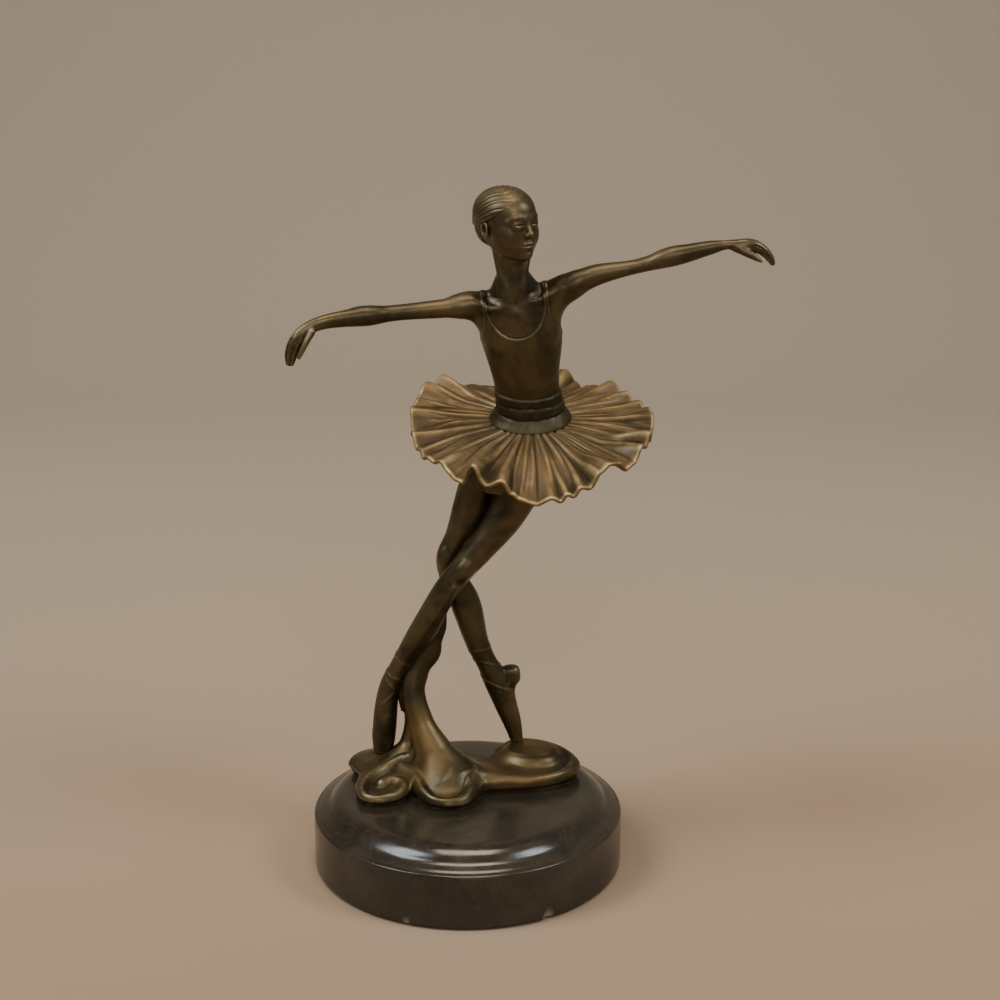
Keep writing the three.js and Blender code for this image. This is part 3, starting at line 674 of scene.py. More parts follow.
def fingers_grooved(wrist):
    """Shallow grooves between four closed fingers, from the knuckles to the tip of a hand."""
    def swell(arc, angle):
        side = (np.sin(angle) + 1.0) * 2.0
        groove = 1.0 - np.abs(np.sin(math.pi * side))
        place = smooth_step(wrist, wrist + 4.0, arc)
        place = place * smooth_step(0.02, 0.12, np.abs(np.cos(angle)))
        knuckle = 0.16 * bump(arc, wrist + 3.0, 1.2) * (1 - groove)
        return knuckle * place - 0.34 * groove ** 3 * place
    return swell


RIGHT_KNUCKLES = right_arm_line.arc[-1] - 11.5
LEFT_KNUCKLES = left_arm_line.arc[-1] - 12.0
RIGHT_THUMB = [
    (-54.6, -14.2, 184.8), (-56.6, -15.6, 181.4), (-58.2, -16.2, 178.2), (-59.2, -16.4, 176.0),
]
LEFT_THUMB = [
    (97.0, -5.8, 213.6), (99.4, -6.6, 212.8), (102.2, -7.4, 211.4), (104.6, -7.9, 210.0),
    (105.8, -8.1, 209.2),
]


def arm_field(p, thumb, radii, melt, joint):
    arm = smooth_min(dressed_body(p), sweep(p, thumb, radii), melt)
    return np.maximum(arm, -half_space(p, *joint) - SEAM_LAP)


def right_arm_field(p):
    return arm_field(p, RIGHT_THUMB, [1.3, 1.15, 1.0, 0.7], 0.9, RIGHT_JOINT)


def left_arm_field(p):
    return arm_field(p, LEFT_THUMB, [1.5, 1.6, 1.4, 0.95, 0.5], 1.0, LEFT_JOINT)


# ---------------------------------------------------------------- legs

def ribbon(p, point, normal, width=0.75, height=0.2):
    """A flat satin ribbon, raised on the skin where a tilted plane cuts the leg."""
    gap = np.abs(half_space(p, point, normal))
    return height * smooth_step(width, width * 0.5, gap)


def block(p, centre, radii, turn, power=3.0):
    q = np.abs((p - np.asarray(centre)) @ turn) / np.asarray(radii)
    return ((q ** power).sum(1) ** (1 / power) - 1.0) * min(radii)


def near(p, centre, size):
    return smooth_step(size * 1.3, size, np.linalg.norm(p - np.asarray(centre), axis=1))


LEFT_SHIN = [(-5.0, 3.2, 83.0), (-13.6, 6.6, 68.0), (-22.6, 11.8, 53.0), (-26.8, 14.2, 45.0)]


def left_leg_form(p):
    ankle = near(p, (-28, 16, 35), 8)
    dress = ribbon(p, (-24.0, 15.0, 48.6), (-0.46, 0.23, -0.86))
    dress = np.maximum(dress, ribbon(p, (-27.2, 17.0, 41.0), (-0.40, 0.10, -0.9)))
    dress = np.maximum(dress, ribbon(p, (-28.0, 16.0, 35.4), (0.75, -0.2, 0.5)) * ankle)
    dress = np.maximum(dress, ribbon(p, (-28.6, 16.0, 35.4), (-0.62, -0.3, 0.72)) * ankle)
    shoe = half_space(p, (-33.0, 15.0, 24.0), (-0.2, 0.75, 0.62))
    dress = np.maximum(dress, 0.14 * smooth_step(0.4, -0.4, shoe))
    leg = limb(p, left_leg_line, lambda arc, angle: dress)
    knee = ellipsoid(p, (-1.0, 2.6, 89.5), (3.2, 2.2, 4.0), turn_matrix(y=40))
    shin = sweep(p, LEFT_SHIN, [1.2, 1.5, 1.3, 1.0])
    calf = ellipsoid(p, (-13.0, 14.0, 67.0), (3.6, 4.0, 10.0), turn_matrix(y=28, x=-14))
    heel = ellipsoid(p, (-28.8, 21.6, 40.5), (2.6, 2.4, 3.6), turn_matrix(x=-20))
    leg = smooth_min(leg, knee, 2.0)
    leg = smooth_min(leg, shin, 1.6)
    leg = smooth_min(leg, calf, 2.4)
    return smooth_min(leg, heel, 2.0)


HEEL_SEAM = [(15.6, 21.6, 43.4), (15.4, 21.2, 38.0), (15.0, 21.4, 34.2)]
RIGHT_SOLE = [
    (17.6, 24.9, 36.6), (16.9, 25.0, 31.0), (17.6, 25.1, 26.4), (19.3, 25.4, 19.4),
    (20.2, 25.6, 12.8), (20.4, 25.6, 9.0),
]


def right_leg_form(p):
    dress = ribbon(p, (4.2, 22.0, 50.6), (-0.25, 0.12, 0.96), height=0.16)
    dress = np.maximum(dress, ribbon(p, (9.6, 22.0, 44.6), (0.20, 0.2, 0.96), height=0.16))
    shoe = half_space(p, (11.4, 22.0, 36.4), (0.42, -0.1, 0.88))
    dress = np.maximum(dress, 0.18 * smooth_step(0.3, -0.3, shoe) + 0.14 * bump(shoe, -0.5, 0.5))
    leg = limb(p, right_leg_line, lambda arc, angle: dress)
    knee = ellipsoid(p, (-8.2, 15.6, 90.5), (3.0, 2.0, 4.2))
    calf = ellipsoid(p, (-1.0, 23.4, 72.0), (4.0, 3.6, 9.6), turn_matrix(y=-24))
    thigh = ellipsoid(p, (4.4, 16.2, 111.0), (4.8, 5.2, 13.0), turn_matrix(y=19))
    leg = smooth_min(leg, knee, 2.0)
    leg = smooth_min(leg, calf, 2.4)
    leg = smooth_min(leg, thigh, 2.4)
    heel = block(p, (16.9, 24.8, 38.5), (3.8, 3.2, 3.9), turn_matrix(y=-6))
    leg = smooth_min(leg, heel, 1.1)
    sole = sweep(p, RIGHT_SOLE, [2.2, 1.6, 1.55, 1.6, 1.4, 1.2])
    leg = smooth_min(leg, sole, 1.0)
    seam = sweep(p, HEEL_SEAM, [0.22, 0.22, 0.18])
    return smooth_max(leg, -seam, 0.35)


def lower_body(p):
    """Hips and both thighs, which melt together above the seams only."""
    left, right = left_leg_form(p), right_leg_form(p)
    blend = np.clip((p[:, 2] - HIP_SEAM_HEIGHT) * 0.35 + 0.3, 0.3, 4.0)
    thighs = smooth_min(left, right, blend)
    hips = limb(p, trunk_line)
    seat_right = ellipsoid(p, (12.6, 18.6, 131.0), (7.4, 7.4, 8.6))
    seat_left = ellipsoid(p, (25.2, 17.4, 132.0), (7.4, 7.4, 8.6))
    seat = smooth_min(seat_right, seat_left, 1.6)
    hips = smooth_min(hips, seat, np.clip(blend, 0.3, 3.0))
    return smooth_min(hips, thighs, blend)


def pelvis_field(p):
    body = np.maximum(lower_body(p), HIP_SEAM_HEIGHT - SEAM_LAP - p[:, 2])
    return np.maximum(body, half_space(p, *WAIST_JOINT) - SEAM_LAP)


def left_leg_field(p):
    leg = np.maximum(left_leg_form(p), p[:, 2] - HIP_SEAM_HEIGHT - SEAM_LAP)
    return np.maximum(leg, LEFT_TOE_HEIGHT - 0.1 - p[:, 2])


def right_leg_field(p):
    leg = np.maximum(right_leg_form(p), p[:, 2] - HIP_SEAM_HEIGHT - SEAM_LAP)
    leg = np.maximum(leg, RIGHT_TOE_HEIGHT - 0.1 - p[:, 2])
    return np.maximum(leg, -left_leg_form(p) + 0.05)


# ---------------------------------------------------------------- waist sash

SKIRT_TURN = turn_matrix(x=SKIRT_TILT)


def skirt_place(p):
    """Across, back and up, from the middle of the skirt, in the skirt's own tilted frame."""
    return (p - SKIRT_CENTRE) @ SKIRT_TURN


SASH_TOP = 12.8
SASH_BANDS = [
    # height of the foot of the band, its thickness at the waist, phase of its wave
    [0.2, 2.0, 0.4], [4.9, 1.6, 2.6], [8.8, 1.1, 4.4],
]


def sash_field(p):
    """Three soft folds, each lapping the one below it, the lowest flaring onto the skirt."""
    q = skirt_place(p)
    around = np.arctan2(q[:, 1], q[:, 0])
    height = q[:, 2]
    outside = np.full(len(p), -9.0)
    feet = [foot + 0.35 * np.sin(2 * around + phase) for foot, _, phase in SASH_BANDS]
    feet.append(SASH_TOP + 0.0 * around)
    for k, (_, thick, phase) in enumerate(SASH_BANDS):
        span = feet[k + 1] - feet[k] + 0.5
        share = (height - feet[k]) / span
        belly = 1.0 - (np.clip(np.abs(share - 0.42), 0, 1) / 0.66) ** 4
        gather = 0.07 * np.sin(9 * around + 2 * phase + 0.5 * height)
        gather += 0.05 * np.sin(17 * around - phase - 0.8 * height)
        fold = thick * belly + gather * belly
        outside = smooth_max(outside, fold, 0.35)
    flare = 1.9 * smooth_step(5.4, 0.4, height)
    band = limb(p, trunk_line, lambda arc, angle: outside + flare)
    ends = np.maximum(0.2 - height, height - SASH_TOP)
    band = smooth_max(band, ends, 1.0)
    return np.maximum(band, -limb(p, trunk_line) - 0.6)


# ---------------------------------------------------------------- ground casting

class Chart:
    """Values over the plan of the casting, worked out once and looked up by x and y."""

    def __init__(self, function, low=(-54.0, -28.0), high=(50.0, 40.0), step=0.25):
        self.low, self.step = np.array(low), step
        xs = np.arange(low[0], high[0] + step, step)
        ys = np.arange(low[1], high[1] + step, step)
        grid = np.stack(np.meshgrid(xs, ys, indexing="ij"), -1).reshape(-1, 2)
        self.values = function(grid).reshape(len(xs), len(ys))

    def at(self, p):
        u = (p[:, :2] - self.low) / self.step
        limit = np.array(self.values.shape) - 2
        i = np.clip(np.floor(u).astype(int), 0, limit)
        w = np.clip(u - i, 0.0, 1.0)
        v = self.values
        a = v[i[:, 0], i[:, 1]] * (1 - w[:, 0]) + v[i[:, 0] + 1, i[:, 1]] * w[:, 0]
        b = v[i[:, 0], i[:, 1] + 1] * (1 - w[:, 0]) + v[i[:, 0] + 1, i[:, 1] + 1] * w[:, 0]
        return a * (1 - w[:, 1]) + b * w[:, 1]


def closed_curve(points, per_side=8):
    pts = np.asarray(points, dtype=float)
    loop = np.vstack([pts[-2:], pts, pts[:3]])
    t = np.linspace(0.0, 1.0, (len(loop) - 1) * per_side + 1)
    curve = catmull(loop, t)
    return curve[2 * per_side:-2 * per_side - 1]


def polygon_distance(p, polygon):
    """Signed distance in the plane, negative inside the closed polygon."""
    nearest = np.full(len(p), 1e9)
    inside = np.zeros(len(p), dtype=bool)
    for a, b in zip(polygon, np.roll(polygon, -1, axis=0)):
        edge = b - a
        rel = p - a
        t = np.clip((rel @ edge) / max(edge @ edge, 1e-12), 0.0, 1.0)
        gap = rel - t[:, None] * edge
        nearest = np.minimum(nearest, (gap * gap).sum(1))
        spans = (a[1] > p[:, 1]) != (b[1] > p[:, 1])
        rise = edge[1] if abs(edge[1]) > 1e-12 else 1e-12
        inside ^= spans & (rel[:, 0] < edge[0] * rel[:, 1] / rise)
    return np.where(inside, -1.0, 1.0) * np.sqrt(nearest)


def nearest_on_path(p, points, samples=110):
    """Distance in the plane to a smooth path, and the path's own value at that place."""
    line = catmull(points, np.linspace(0.0, 1.0, samples))
    nearest = np.full(len(p), 1e9)
    value = np.zeros(len(p))
    for x, y, v in line:
        d2 = (p[:, 0] - x) ** 2 + (p[:, 1] - y) ** 2
        closer = d2 < nearest
        nearest = np.where(closer, d2, nearest)
        value = np.where(closer, v, value)
    return np.sqrt(nearest), value


def thin_plate(knots, smoothing=0.02):
    """A smooth surface through the heights [x, y, z]."""
    k = np.asarray(knots, dtype=float)

    def kernel(d2):
        return 0.5 * d2 * np.log(np.maximum(d2, 1e-9))

    gap = ((k[:, None, :2] - k[None, :, :2]) ** 2).sum(2)
    poly = np.hstack([np.ones((len(k), 1)), k[:, :2]])
    top = np.hstack([kernel(gap) + smoothing * np.eye(len(k)), poly])
    bottom = np.hstack([poly.T, np.zeros((3, 3))])
    weights = np.linalg.solve(np.vstack([top, bottom]), np.concatenate([k[:, 2], np.zeros(3)]))

    def height(p):
        total = weights[-3] + p @ weights[-2:]
        for knot, weight in zip(k, weights):
            total = total + weight * kernel(((p - knot[:2]) ** 2).sum(1))
        return total
    return height


LEFT_SCROLL = [
    [-22.0, 9.0, 12.5], [-26.5, 9.2, 10.5], [-31.0, 7.6, 8.8], [-35.5, 4.0, 7.6],
    [-39.2, -1.5, 6.6], [-40.8, -7.5, 5.6], [-39.6, -12.8, 4.9], [-35.4, -15.0, 4.6],
    [-30.2, -14.2, 4.9], [-26.2, -11.0, 5.3], [-24.6, -6.4, 5.8], [-26.4, -2.4, 6.2],
    [-30.4, -1.4, 6.4], [-33.6, -4.0, 6.2],
]
TONGUE_EDGE = [
    [-26.0, 5.0, 9.6], [-22.4, 0.4, 9.0], [-19.2, -6.4, 7.8], [-17.0, -12.4, 6.6],
    [-13.4, -17.0, 5.4], [-7.6, -18.6, 4.9], [-1.8, -16.2, 5.4], [0.8, -12.0, 6.8],
    [1.6, -7.0, 8.2], [3.4, -2.6, 9.2],
]
BRIDGE_EDGE = [
    [3.4, -2.6, 9.2], [9.4, -2.0, 8.4], [15.0, -2.6, 7.5], [21.0, -1.8, 6.8],
    [28.0, -0.6, 6.4], [34.4, 2.4, 6.4], [39.4, 7.6, 6.7], [41.4, 13.6, 7.2],
    [39.0, 20.0, 8.0], [33.0, 24.8, 9.0], [25.6, 27.0, 9.8], [18.0, 25.6, 10.2],
    [12.4, 21.4, 8.6],
]
DISC_LIP = [
    [14.6, 16.0, 7.6], [18.6, 12.0, 8.2], [23.4, 10.0, 8.8], [28.4, 9.8, 9.2],
    [32.6, 11.6, 9.2], [34.8, 15.0, 9.0],
]
GROUND_FLOOR = [
    # x, y and height of the low ground between the rolled edges
    [-34.3, 19.5, 8.6], [-38.0, 21.0, 7.6], [-41.5, 26.0, 5.2], [-46.0, 20.0, 4.2],
    [-44.0, 14.0, 4.2], [-39.0, 12.5, 5.6], [-33.0, 14.0, 7.4], [-28.0, 16.0, 8.6],
    [-28.0, 26.0, 6.6], [-20.0, 26.0, 6.4], [-34.0, 30.5, 4.6], [-20.0, 30.0, 4.4],
    [-8.0, 23.0, 4.8], [-14.0, 18.0, 7.0], [-2.0, 16.0, 6.0], [-6.0, 10.0, 8.0],
    [2.0, 8.0, 7.2], [4.0, 13.0, 6.0], [10.0, 8.0, 6.0], [9.0, 3.4, 6.6], [-14.0, 6.0, 9.0],
    [-38.6, 6.0, 4.4], [-40.0, 0.0, 4.0], [-41.0, -6.0, 3.4], [-38.0, -13.0, 2.9],
    [-31.0, -15.0, 2.8],
    [-36.0, -6.0, 3.5], [-33.0, -11.0, 3.2], [-28.6, -11.0, 3.4], [-36.4, -1.6, 4.0],
    [-28.0, -7.4, 3.6], [-30.4, 2.4, 4.6], [-25.6, 3.6, 5.0], [-24.0, -10.0, 3.0],
    [-22.0, -1.6, 4.2], [-21.6, -7.0, 3.2], [-19.0, -12.0, 3.0],
    [-14.6, -3.6, 7.2], [-12.6, -9.6, 5.4], [-9.0, -14.4, 4.2], [-3.4, -11.6, 5.4],
    [-7.0, -19.0, 3.0],
    [-10.6, 0.6, 8.6], [-3.0, -5.0, 7.6], [-1.6, 0.6, 8.4], [-6.2, 4.4, 9.0], [2.0, -12.0, 4.6],
    [12.6, 13.4, 5.4], [17.0, 8.2, 5.2], [23.0, 5.2, 5.2], [29.6, 5.0, 5.3], [6.0, -4.0, 6.6],
    [34.8, 8.0, 5.5], [38.6, 13.4, 6.0], [14.0, -3.6, 5.8], [26.0, -2.4, 4.9], [38.0, 4.0, 5.0],
    [24.0, 16.0, 8.4], [30.0, 17.0, 8.4], [20.0, 19.0, 8.4], [27.0, 22.0, 8.8],
    [19.8, 25.0, 9.2], [15.6, 19.4, 7.8], [36.0, 21.0, 7.4], [42.0, 14.0, 6.0], [26.0, 29.0, 7.6],
]
GROUND_EDGE = [
    [-43, -8], [-41, -14], [-35.5, -17], [-28.5, -15.5], [-24, -11.5], [-21.2, -6.5],
    [-18.5, -13], [-13, -18.6], [-6.5, -20.4], [0, -18], [3.6, -12], [7, -6.2],
    [15, -4.8], [25, -3.4], [34.5, 0.4], [41.5, 6.4], [44.5, 14], [41.5, 21.5],
    [34.5, 27.5], [25, 30.5], [16, 28.5], [10.5, 22.5], [6, 17.5], [0, 20],
    [-8, 27], [-20, 33], [-34, 34.5], [-44.5, 29], [-48.5, 19], [-45.5, 12.5],
    [-43.4, 8.4], [-43.4, 4.0], [-44.0, -2.0],
]

ground_floor = thin_plate(GROUND_FLOOR, 2.0)
RIDGES = [
    # path of the crest, how sharply it is rounded, how softly it melts into the floor
    (LEFT_SCROLL, 1.1, 0.9), (TONGUE_EDGE, 1.6, 1.5), (BRIDGE_EDGE, 1.4, 1.5),
    (DISC_LIP, 1.2, 1.2),
]


def ground_height(p):
    height = ground_floor(p)
    stem_foot = 5.0 * np.exp(-((p[:, 0] + 12.5) ** 2 + (p[:, 1] - 5.0) ** 2) / 120.0)
    height = height + stem_foot
    for points, rounding, melt in RIDGES:
        gap, crest = nearest_on_path(p, points)
        roll = crest - 0.5 * gap ** 2 / rounding
        height = smooth_max(height, np.maximum(roll, crest - 7.0), melt)
    disc = np.sqrt(((p[:, 0] - 24.6) / 11.4) ** 2 + ((p[:, 1] - 18.4) / 8.4) ** 2)
    height = smooth_max(height, 9.9 + 0.8 * (1 - disc) - 7.0 * np.maximum(disc - 0.84, 0.0), 2.0)
    gap, depth = nearest_on_path(p, TONGUE_CREASE)
    height = height - depth * np.exp(-(gap / 1.1) ** 2)
    return height


TONGUE_CREASE = [[-5.4, 5.4, 0.2], [-5.0, 1.8, 0.8], [-5.6, -2.0, 0.9], [-7.6, -6.6, 0.7],
                 [-10.6, -10.4, 0.1]]


BRANCH_WEB = [(-24.4, 17.6, 40.0), (-26.0, 18.0, 33.0), (-26.4, 18.3, 26.0)]
ground_edge_curve = closed_curve(GROUND_EDGE)
height_chart = Chart(ground_height)
edge_chart = Chart(lambda p: polygon_distance(p, ground_edge_curve))


def ground_field(p):
    z = p[:, 2]
    foot = 1.5 * smooth_step(3.2, 0.3, z)
    plate = smooth_max(edge_chart.at(p) + foot, z - height_chart.at(p), 1.7)
    groove = 0.5 * np.sin(p[:, 2] * 0.10 + 1.0)
    stem = limb(p, stem_line, lambda arc, angle: 0.45 * np.cos(2 * angle + groove))
    branch = limb(p, branch_line)
    web = sweep(p, BRANCH_WEB, [2.2, 1.9, 0.4])
    branch = smooth_min(branch, web, 1.6)
    body = smooth_min(smooth_min(stem, branch, 1.6), plate, 5.0)
    return np.maximum(body, 0.02 - z)


# ---------------------------------------------------------------- head

HEAD_TURN = turn_matrix(y=HEAD_ROLL, z=HEAD_YAW)
HAIR_BACK_OF = np.array([
    # height, and how far back the hairline lies there
    [-11.0, 8.0], [-7.0, 6.2], [-5.0, 5.0], [-2.5, 4.4], [-0.4, 2.6], [1.0, -0.6], [3.0, -4.0],
    [5.0, -6.6], [7.0, -8.4], [8.5, -9.4], [13.0, -13.0],
])
BUN = ((0.0, 13.4, -0.6), (4.4, 3.4, 4.2))


def mirrored(q):
    """Folds the left side onto the right, for what the face has twice."""
    return np.stack([np.abs(q[:, 0]), q[:, 1], q[:, 2]], axis=1)


def face_form(q):
    m = mirrored(q)
    skull = ellipsoid(q, (0.0, 1.4, 2.2), (9.7, 12.0, 8.8))
    front = ellipsoid(q, (0.0, -3.2, -3.4), (7.7, 7.9, 9.3))
    head = smooth_min(skull, front, 3.0)
    head = smooth_min(head, ellipsoid(q, (0.0, -3.0, 3.8), (7.3, 7.7, 5.9)), 2.5)
    jaw = sweep(m, [(7.3, 1.5, -5.0), (6.0, -3.0, -9.2), (2.6, -7.4, -11.2), (0.0, -8.6, -11.6)],
                [2.3, 2.1, 2.1, 2.2])
    head = smooth_min(head, jaw, 2.2)
    head = smooth_min(head, ellipsoid(m, (4.6, -5.6, -5.0), (3.7, 4.2, 5.0)), 2.6)
    head = smooth_min(head, ellipsoid(q, (0.0, -9.2, -11.2), (2.6, 2.1, 1.9)), 1.6)
    muzzle = ellipsoid(q, (0.0, -8.6, -7.8), (3.6, 3.2, 3.0))
    head = smooth_min(head, muzzle, 2.0)
    socket = ellipsoid(m, (3.45, -12.8, -0.5), (2.6, 2.4, 1.6), turn_matrix(z=10))
    head = smooth_max(head, -socket, 1.9)
    brow = sweep(m, [(6.4, -7.9, 0.9), (4.4, -9.7, 2.1), (1.5, -10.6, 1.6)], [0.5, 0.75, 0.6])
    head = smooth_min(head, brow, 1.7)
    ball = ellipsoid(m, (3.45, -8.6, -0.45), (2.25, 2.25, 2.25))
    head = smooth_min(head, ball, 0.8)
    lid = ellipsoid(m, (3.45, -8.65, -0.45), (2.6, 2.5, 2.45))
    across = (m[:, 0] - 3.45) / 2.1
    upper = 0.42 - 0.72 * across ** 2 + 0.12 * across
    lower = -1.22 + 0.62 * across ** 2 + 0.10 * across
    opening = np.maximum(m[:, 2] - upper, lower - m[:, 2])
    lids = smooth_max(lid, -opening * 0.9, 0.3)
    head = smooth_min(head, lids, 1.0)
    bridge = sweep(q, [(0.0, -10.0, 2.2), (0.0, -11.1, -0.6), (0.0, -12.7, -3.6)],
                   [0.7, 0.7, 0.8])
    head = smooth_min(head, bridge, 1.7)
    head = smooth_min(head, ellipsoid(q, (0.0, -12.5, -3.9), (0.9, 1.05, 0.9)), 1.1)
    head = smooth_min(head, ellipsoid(m, (1.1, -11.4, -4.2), (0.6, 0.95, 0.6)), 1.0)
    head = smooth_max(head, -ellipsoid(m, (0.7, -12.6, -5.25), (0.42, 0.6, 0.4)), 0.3)
    upper_lip = sweep(m, [(0.0, -11.65, -7.25), (0.8, -11.6, -7.1), (2.5, -10.4, -7.75)],
                      [0.55, 0.6, 0.25])
    lower_lip = sweep(m, [(0.0, -11.35, -8.65), (1.1, -11.1, -8.55), (2.3, -10.3, -7.95)],
                      [0.78, 0.7, 0.25])
    head = smooth_min(head, upper_lip, 0.45)
    head = smooth_min(head, lower_lip, 0.45)
    mouth = sweep(m, [(0.0, -12.2, -7.9), (1.4, -11.7, -7.85), (2.9, -10.6, -7.8)],
                  [0.2, 0.2, 0.15])
    head = smooth_max(head, -mouth, 0.3)
    head = smooth_max(head, -ellipsoid(q, (0.0, -12.5, -9.9), (2.0, 1.0, 0.65)), 1.1)
    head = smooth_max(head, -ellipsoid(q, (0.0, -12.9, -6.1), (0.5, 0.7, 0.9)), 0.7)
    ear = ellipsoid(m, (9.2, 1.9, -2.2), (1.2, 2.3, 3.3), turn_matrix(x=-10, z=14))
    ear = smooth_max(ear, -ellipsoid(m, (10.5, 1.3, -2.0), (0.9, 1.2, 1.9)), 0.5)
    lobe = ellipsoid(m, (9.0, 0.8, -4.8), (0.8, 0.9, 1.0))
    ear = smooth_min(ear, lobe, 0.7)
    return smooth_min(head, ear, 0.6)


def hair_form(q):
    """A smooth combed cap, parted from the face by a line that runs down in front of the ear."""
    cap = ellipsoid(q, (0.0, 1.6, 2.5), (10.4, 12.6, 9.6))
    nape = ellipsoid(q, (0.0, 5.8, -3.4), (8.0, 6.9, 6.8))
    cap = smooth_min(cap, nape, 3.0)
    comb = np.arctan2(q[:, 2] + 2.0, q[:, 1] - 14.0) + 0.06 * np.sin(q[:, 0] * 0.5)
    strand = np.sin(comb * 62) + 0.7 * np.sin(comb * 97 + 1.3) + 0.5 * np.sin(comb * 151 + 0.4)
    cap = cap - 0.055 * strand * smooth_step(13.0, 8.0, q[:, 1])
    back_of = np.interp(q[:, 2], HAIR_BACK_OF[:, 0], HAIR_BACK_OF[:, 1])
    back_of = back_of + 0.12 * np.sin(q[:, 2] * 2.2)
    back_of = back_of - 0.014 * q[:, 0] ** 2 * smooth_step(4, 7, q[:, 2])
    cap = smooth_max(cap, back_of - q[:, 1], 1.1)
    centre, size = BUN
    bun = ellipsoid(q, centre, size)
    u, w = q[:, 0] - centre[0], q[:, 2] - centre[2]
    turn = np.arctan2(w, u)
    out = np.hypot(u, w)
    swirl = np.sin(5 * turn + 2.2 * out) + 0.5 * np.sin(14 * turn + 3.4 * out)
    bun = bun - 0.15 * swirl * smooth_step(0.6, 2.2, out)
    tie = np.sqrt((np.hypot(u, w) - 3.6) ** 2 + (q[:, 1] - 11.4) ** 2) - 0.55
    return np.minimum(smooth_min(cap, bun, 0.7), tie)


def head_field(p):
    q = (p - HEAD_CENTRE) @ HEAD_TURN
    head = smooth_min(face_form(q), hair_form(q), 0.35)
    neck = np.maximum(neck_form(p), p[:, 2] - 218.0)
    head = smooth_min(head, neck, 2.4)
    return np.maximum(head, -half_space(p, *NECK_JOINT) - SEAM_LAP)


# ---------------------------------------------------------------- skirt

RIM = [
    # angle in degrees and rise of the rim in mm
    [0, 1.5], [5, 2.5], [13, -1.5], [18, 0.5], [24, -2.5], [30, 0.6], [37, -2.5], [43, 0.4],
    [50, -3.5], [57, -5.0], [61, -7.0], [65, -4.0], [69, 0.0], [74, -1.0], [79, -5.0], [85, -4.0],
    [92, -8.0], [99, -6.6], [106, -9.4], [111, -8.2], [117, -7.6], [122, -6.0], [129, -4.5],
    [134, -1.0],
    [140, 3.0], [145, 0.8], [150, 4.0], [158, 1.5], [166, -1.0], [173, 2.0], [182, -5.0],
    [193, -1.0], [199, -4.0], [205, -2.5], [209, -4.2], [213, -2.5], [218, -3.4], [222, -1.5],
    [225, -3.0], [230, -5.2], [235, -5.0], [242, 3.0], [248, -3.5], [254, -0.5], [259, -5.4],
    [264, -7.5], [272, -8.5], [278, -6.4], [282, -8.0], [286, -5.0], [290, -6.5], [294, -3.4],
    [298, -4.0], [302, 0.5], [306, 2.5], [311, 2.0], [316, -2.0], [322, -1.5], [327, 3.0],
    [331, 0.4], [335, 4.6], [340, 0.6], [346, -2.4], [353, -1.8],
]
PLEATS = 29
RIDGE_SPAN = 1.1


def rim_rise(a):
    """Smooth height of the rim round the skirt."""
    turns = np.mod(np.degrees(a), 360.0)
    angles = np.array([angle for angle, _ in RIM], dtype=float)
    rises = np.array([rise for _, rise in RIM])
    wrap = np.concatenate([angles[-2:] - 360.0, angles, angles[:2] + 360.0])
    value = np.concatenate([rises[-2:], rises, rises[:2]])
    k = np.clip(np.searchsorted(wrap, turns, side="right") - 1, 0, len(wrap) - 2)
    share = (turns - wrap[k]) / (wrap[k + 1] - wrap[k])
    share = share * share * (3 - 2 * share)
    return value[k] + (value[k + 1] - value[k]) * share


def pleat_wave(a):
    """Rounded ridges with narrow valleys, unevenly spaced."""
    phase = PLEATS / 2 * a + 0.55 * np.sin(3 * a + 0.5) + 0.5 * np.sin(7 * a + 2.1)
    return np.abs(np.sin(phase)) ** 0.75


def fine_lines(a, s):
    """Shallow secondary lines between the pleats, which fade toward the rim."""
    lines = np.sin(67 * a + 1.1 * np.sin(5 * a) + 2.0 * s)
    lines = lines + 0.6 * np.sin(113 * a + 1.4 * np.sin(8 * a + 1.0) + 1.0 * s)
    return lines * smooth_step(0.0, 0.2, s) * smooth_step(1.02, 0.7, s)


def skirt_hole(a):
    """Distance from the middle of the skirt to its inner edge, under the sash."""
    return 11.0 * 8.6 / np.sqrt((8.6 * np.cos(a)) ** 2 + (11.0 * np.sin(a)) ** 2) + 0.6


def skirt_surface(a, s):
    """The middle of the cloth, at an angle and a share of the way from sash to rim."""
    reach = SKIRT_RADIUS * (1 - 0.03 * np.sin(a) - 0.03 * np.sin(2 * a)) - 0.6
    reach = reach + 0.35 * np.sin(9 * a + 1.0) + 0.25 * np.sin(17 * a + 2.0)
    inner = skirt_hole(a)
    r = inner + (reach - inner) * s
    rim = rim_rise(a)
    droop = 2.4 * np.cos(2 * a) - 2.8
    z = droop * s ** 1.6 + (rim - droop) * smooth_step(0.4, 1.0, s) ** 1.4
    z = z + (pleat_wave(a) - 0.62) * (2.1 * (s + 0.05) ** 0.35 * (1 - 0.72 * s))
    z = z + 0.15 * fine_lines(a, s)
    curl = 0.020 * np.sin(14 * a + 2.0) * s ** 3
    angle = a + curl + 0.02 * np.sin(4 * a + 3 * s) * s
    return np.stack([r * np.cos(angle), r * np.sin(angle), z], axis=-1)


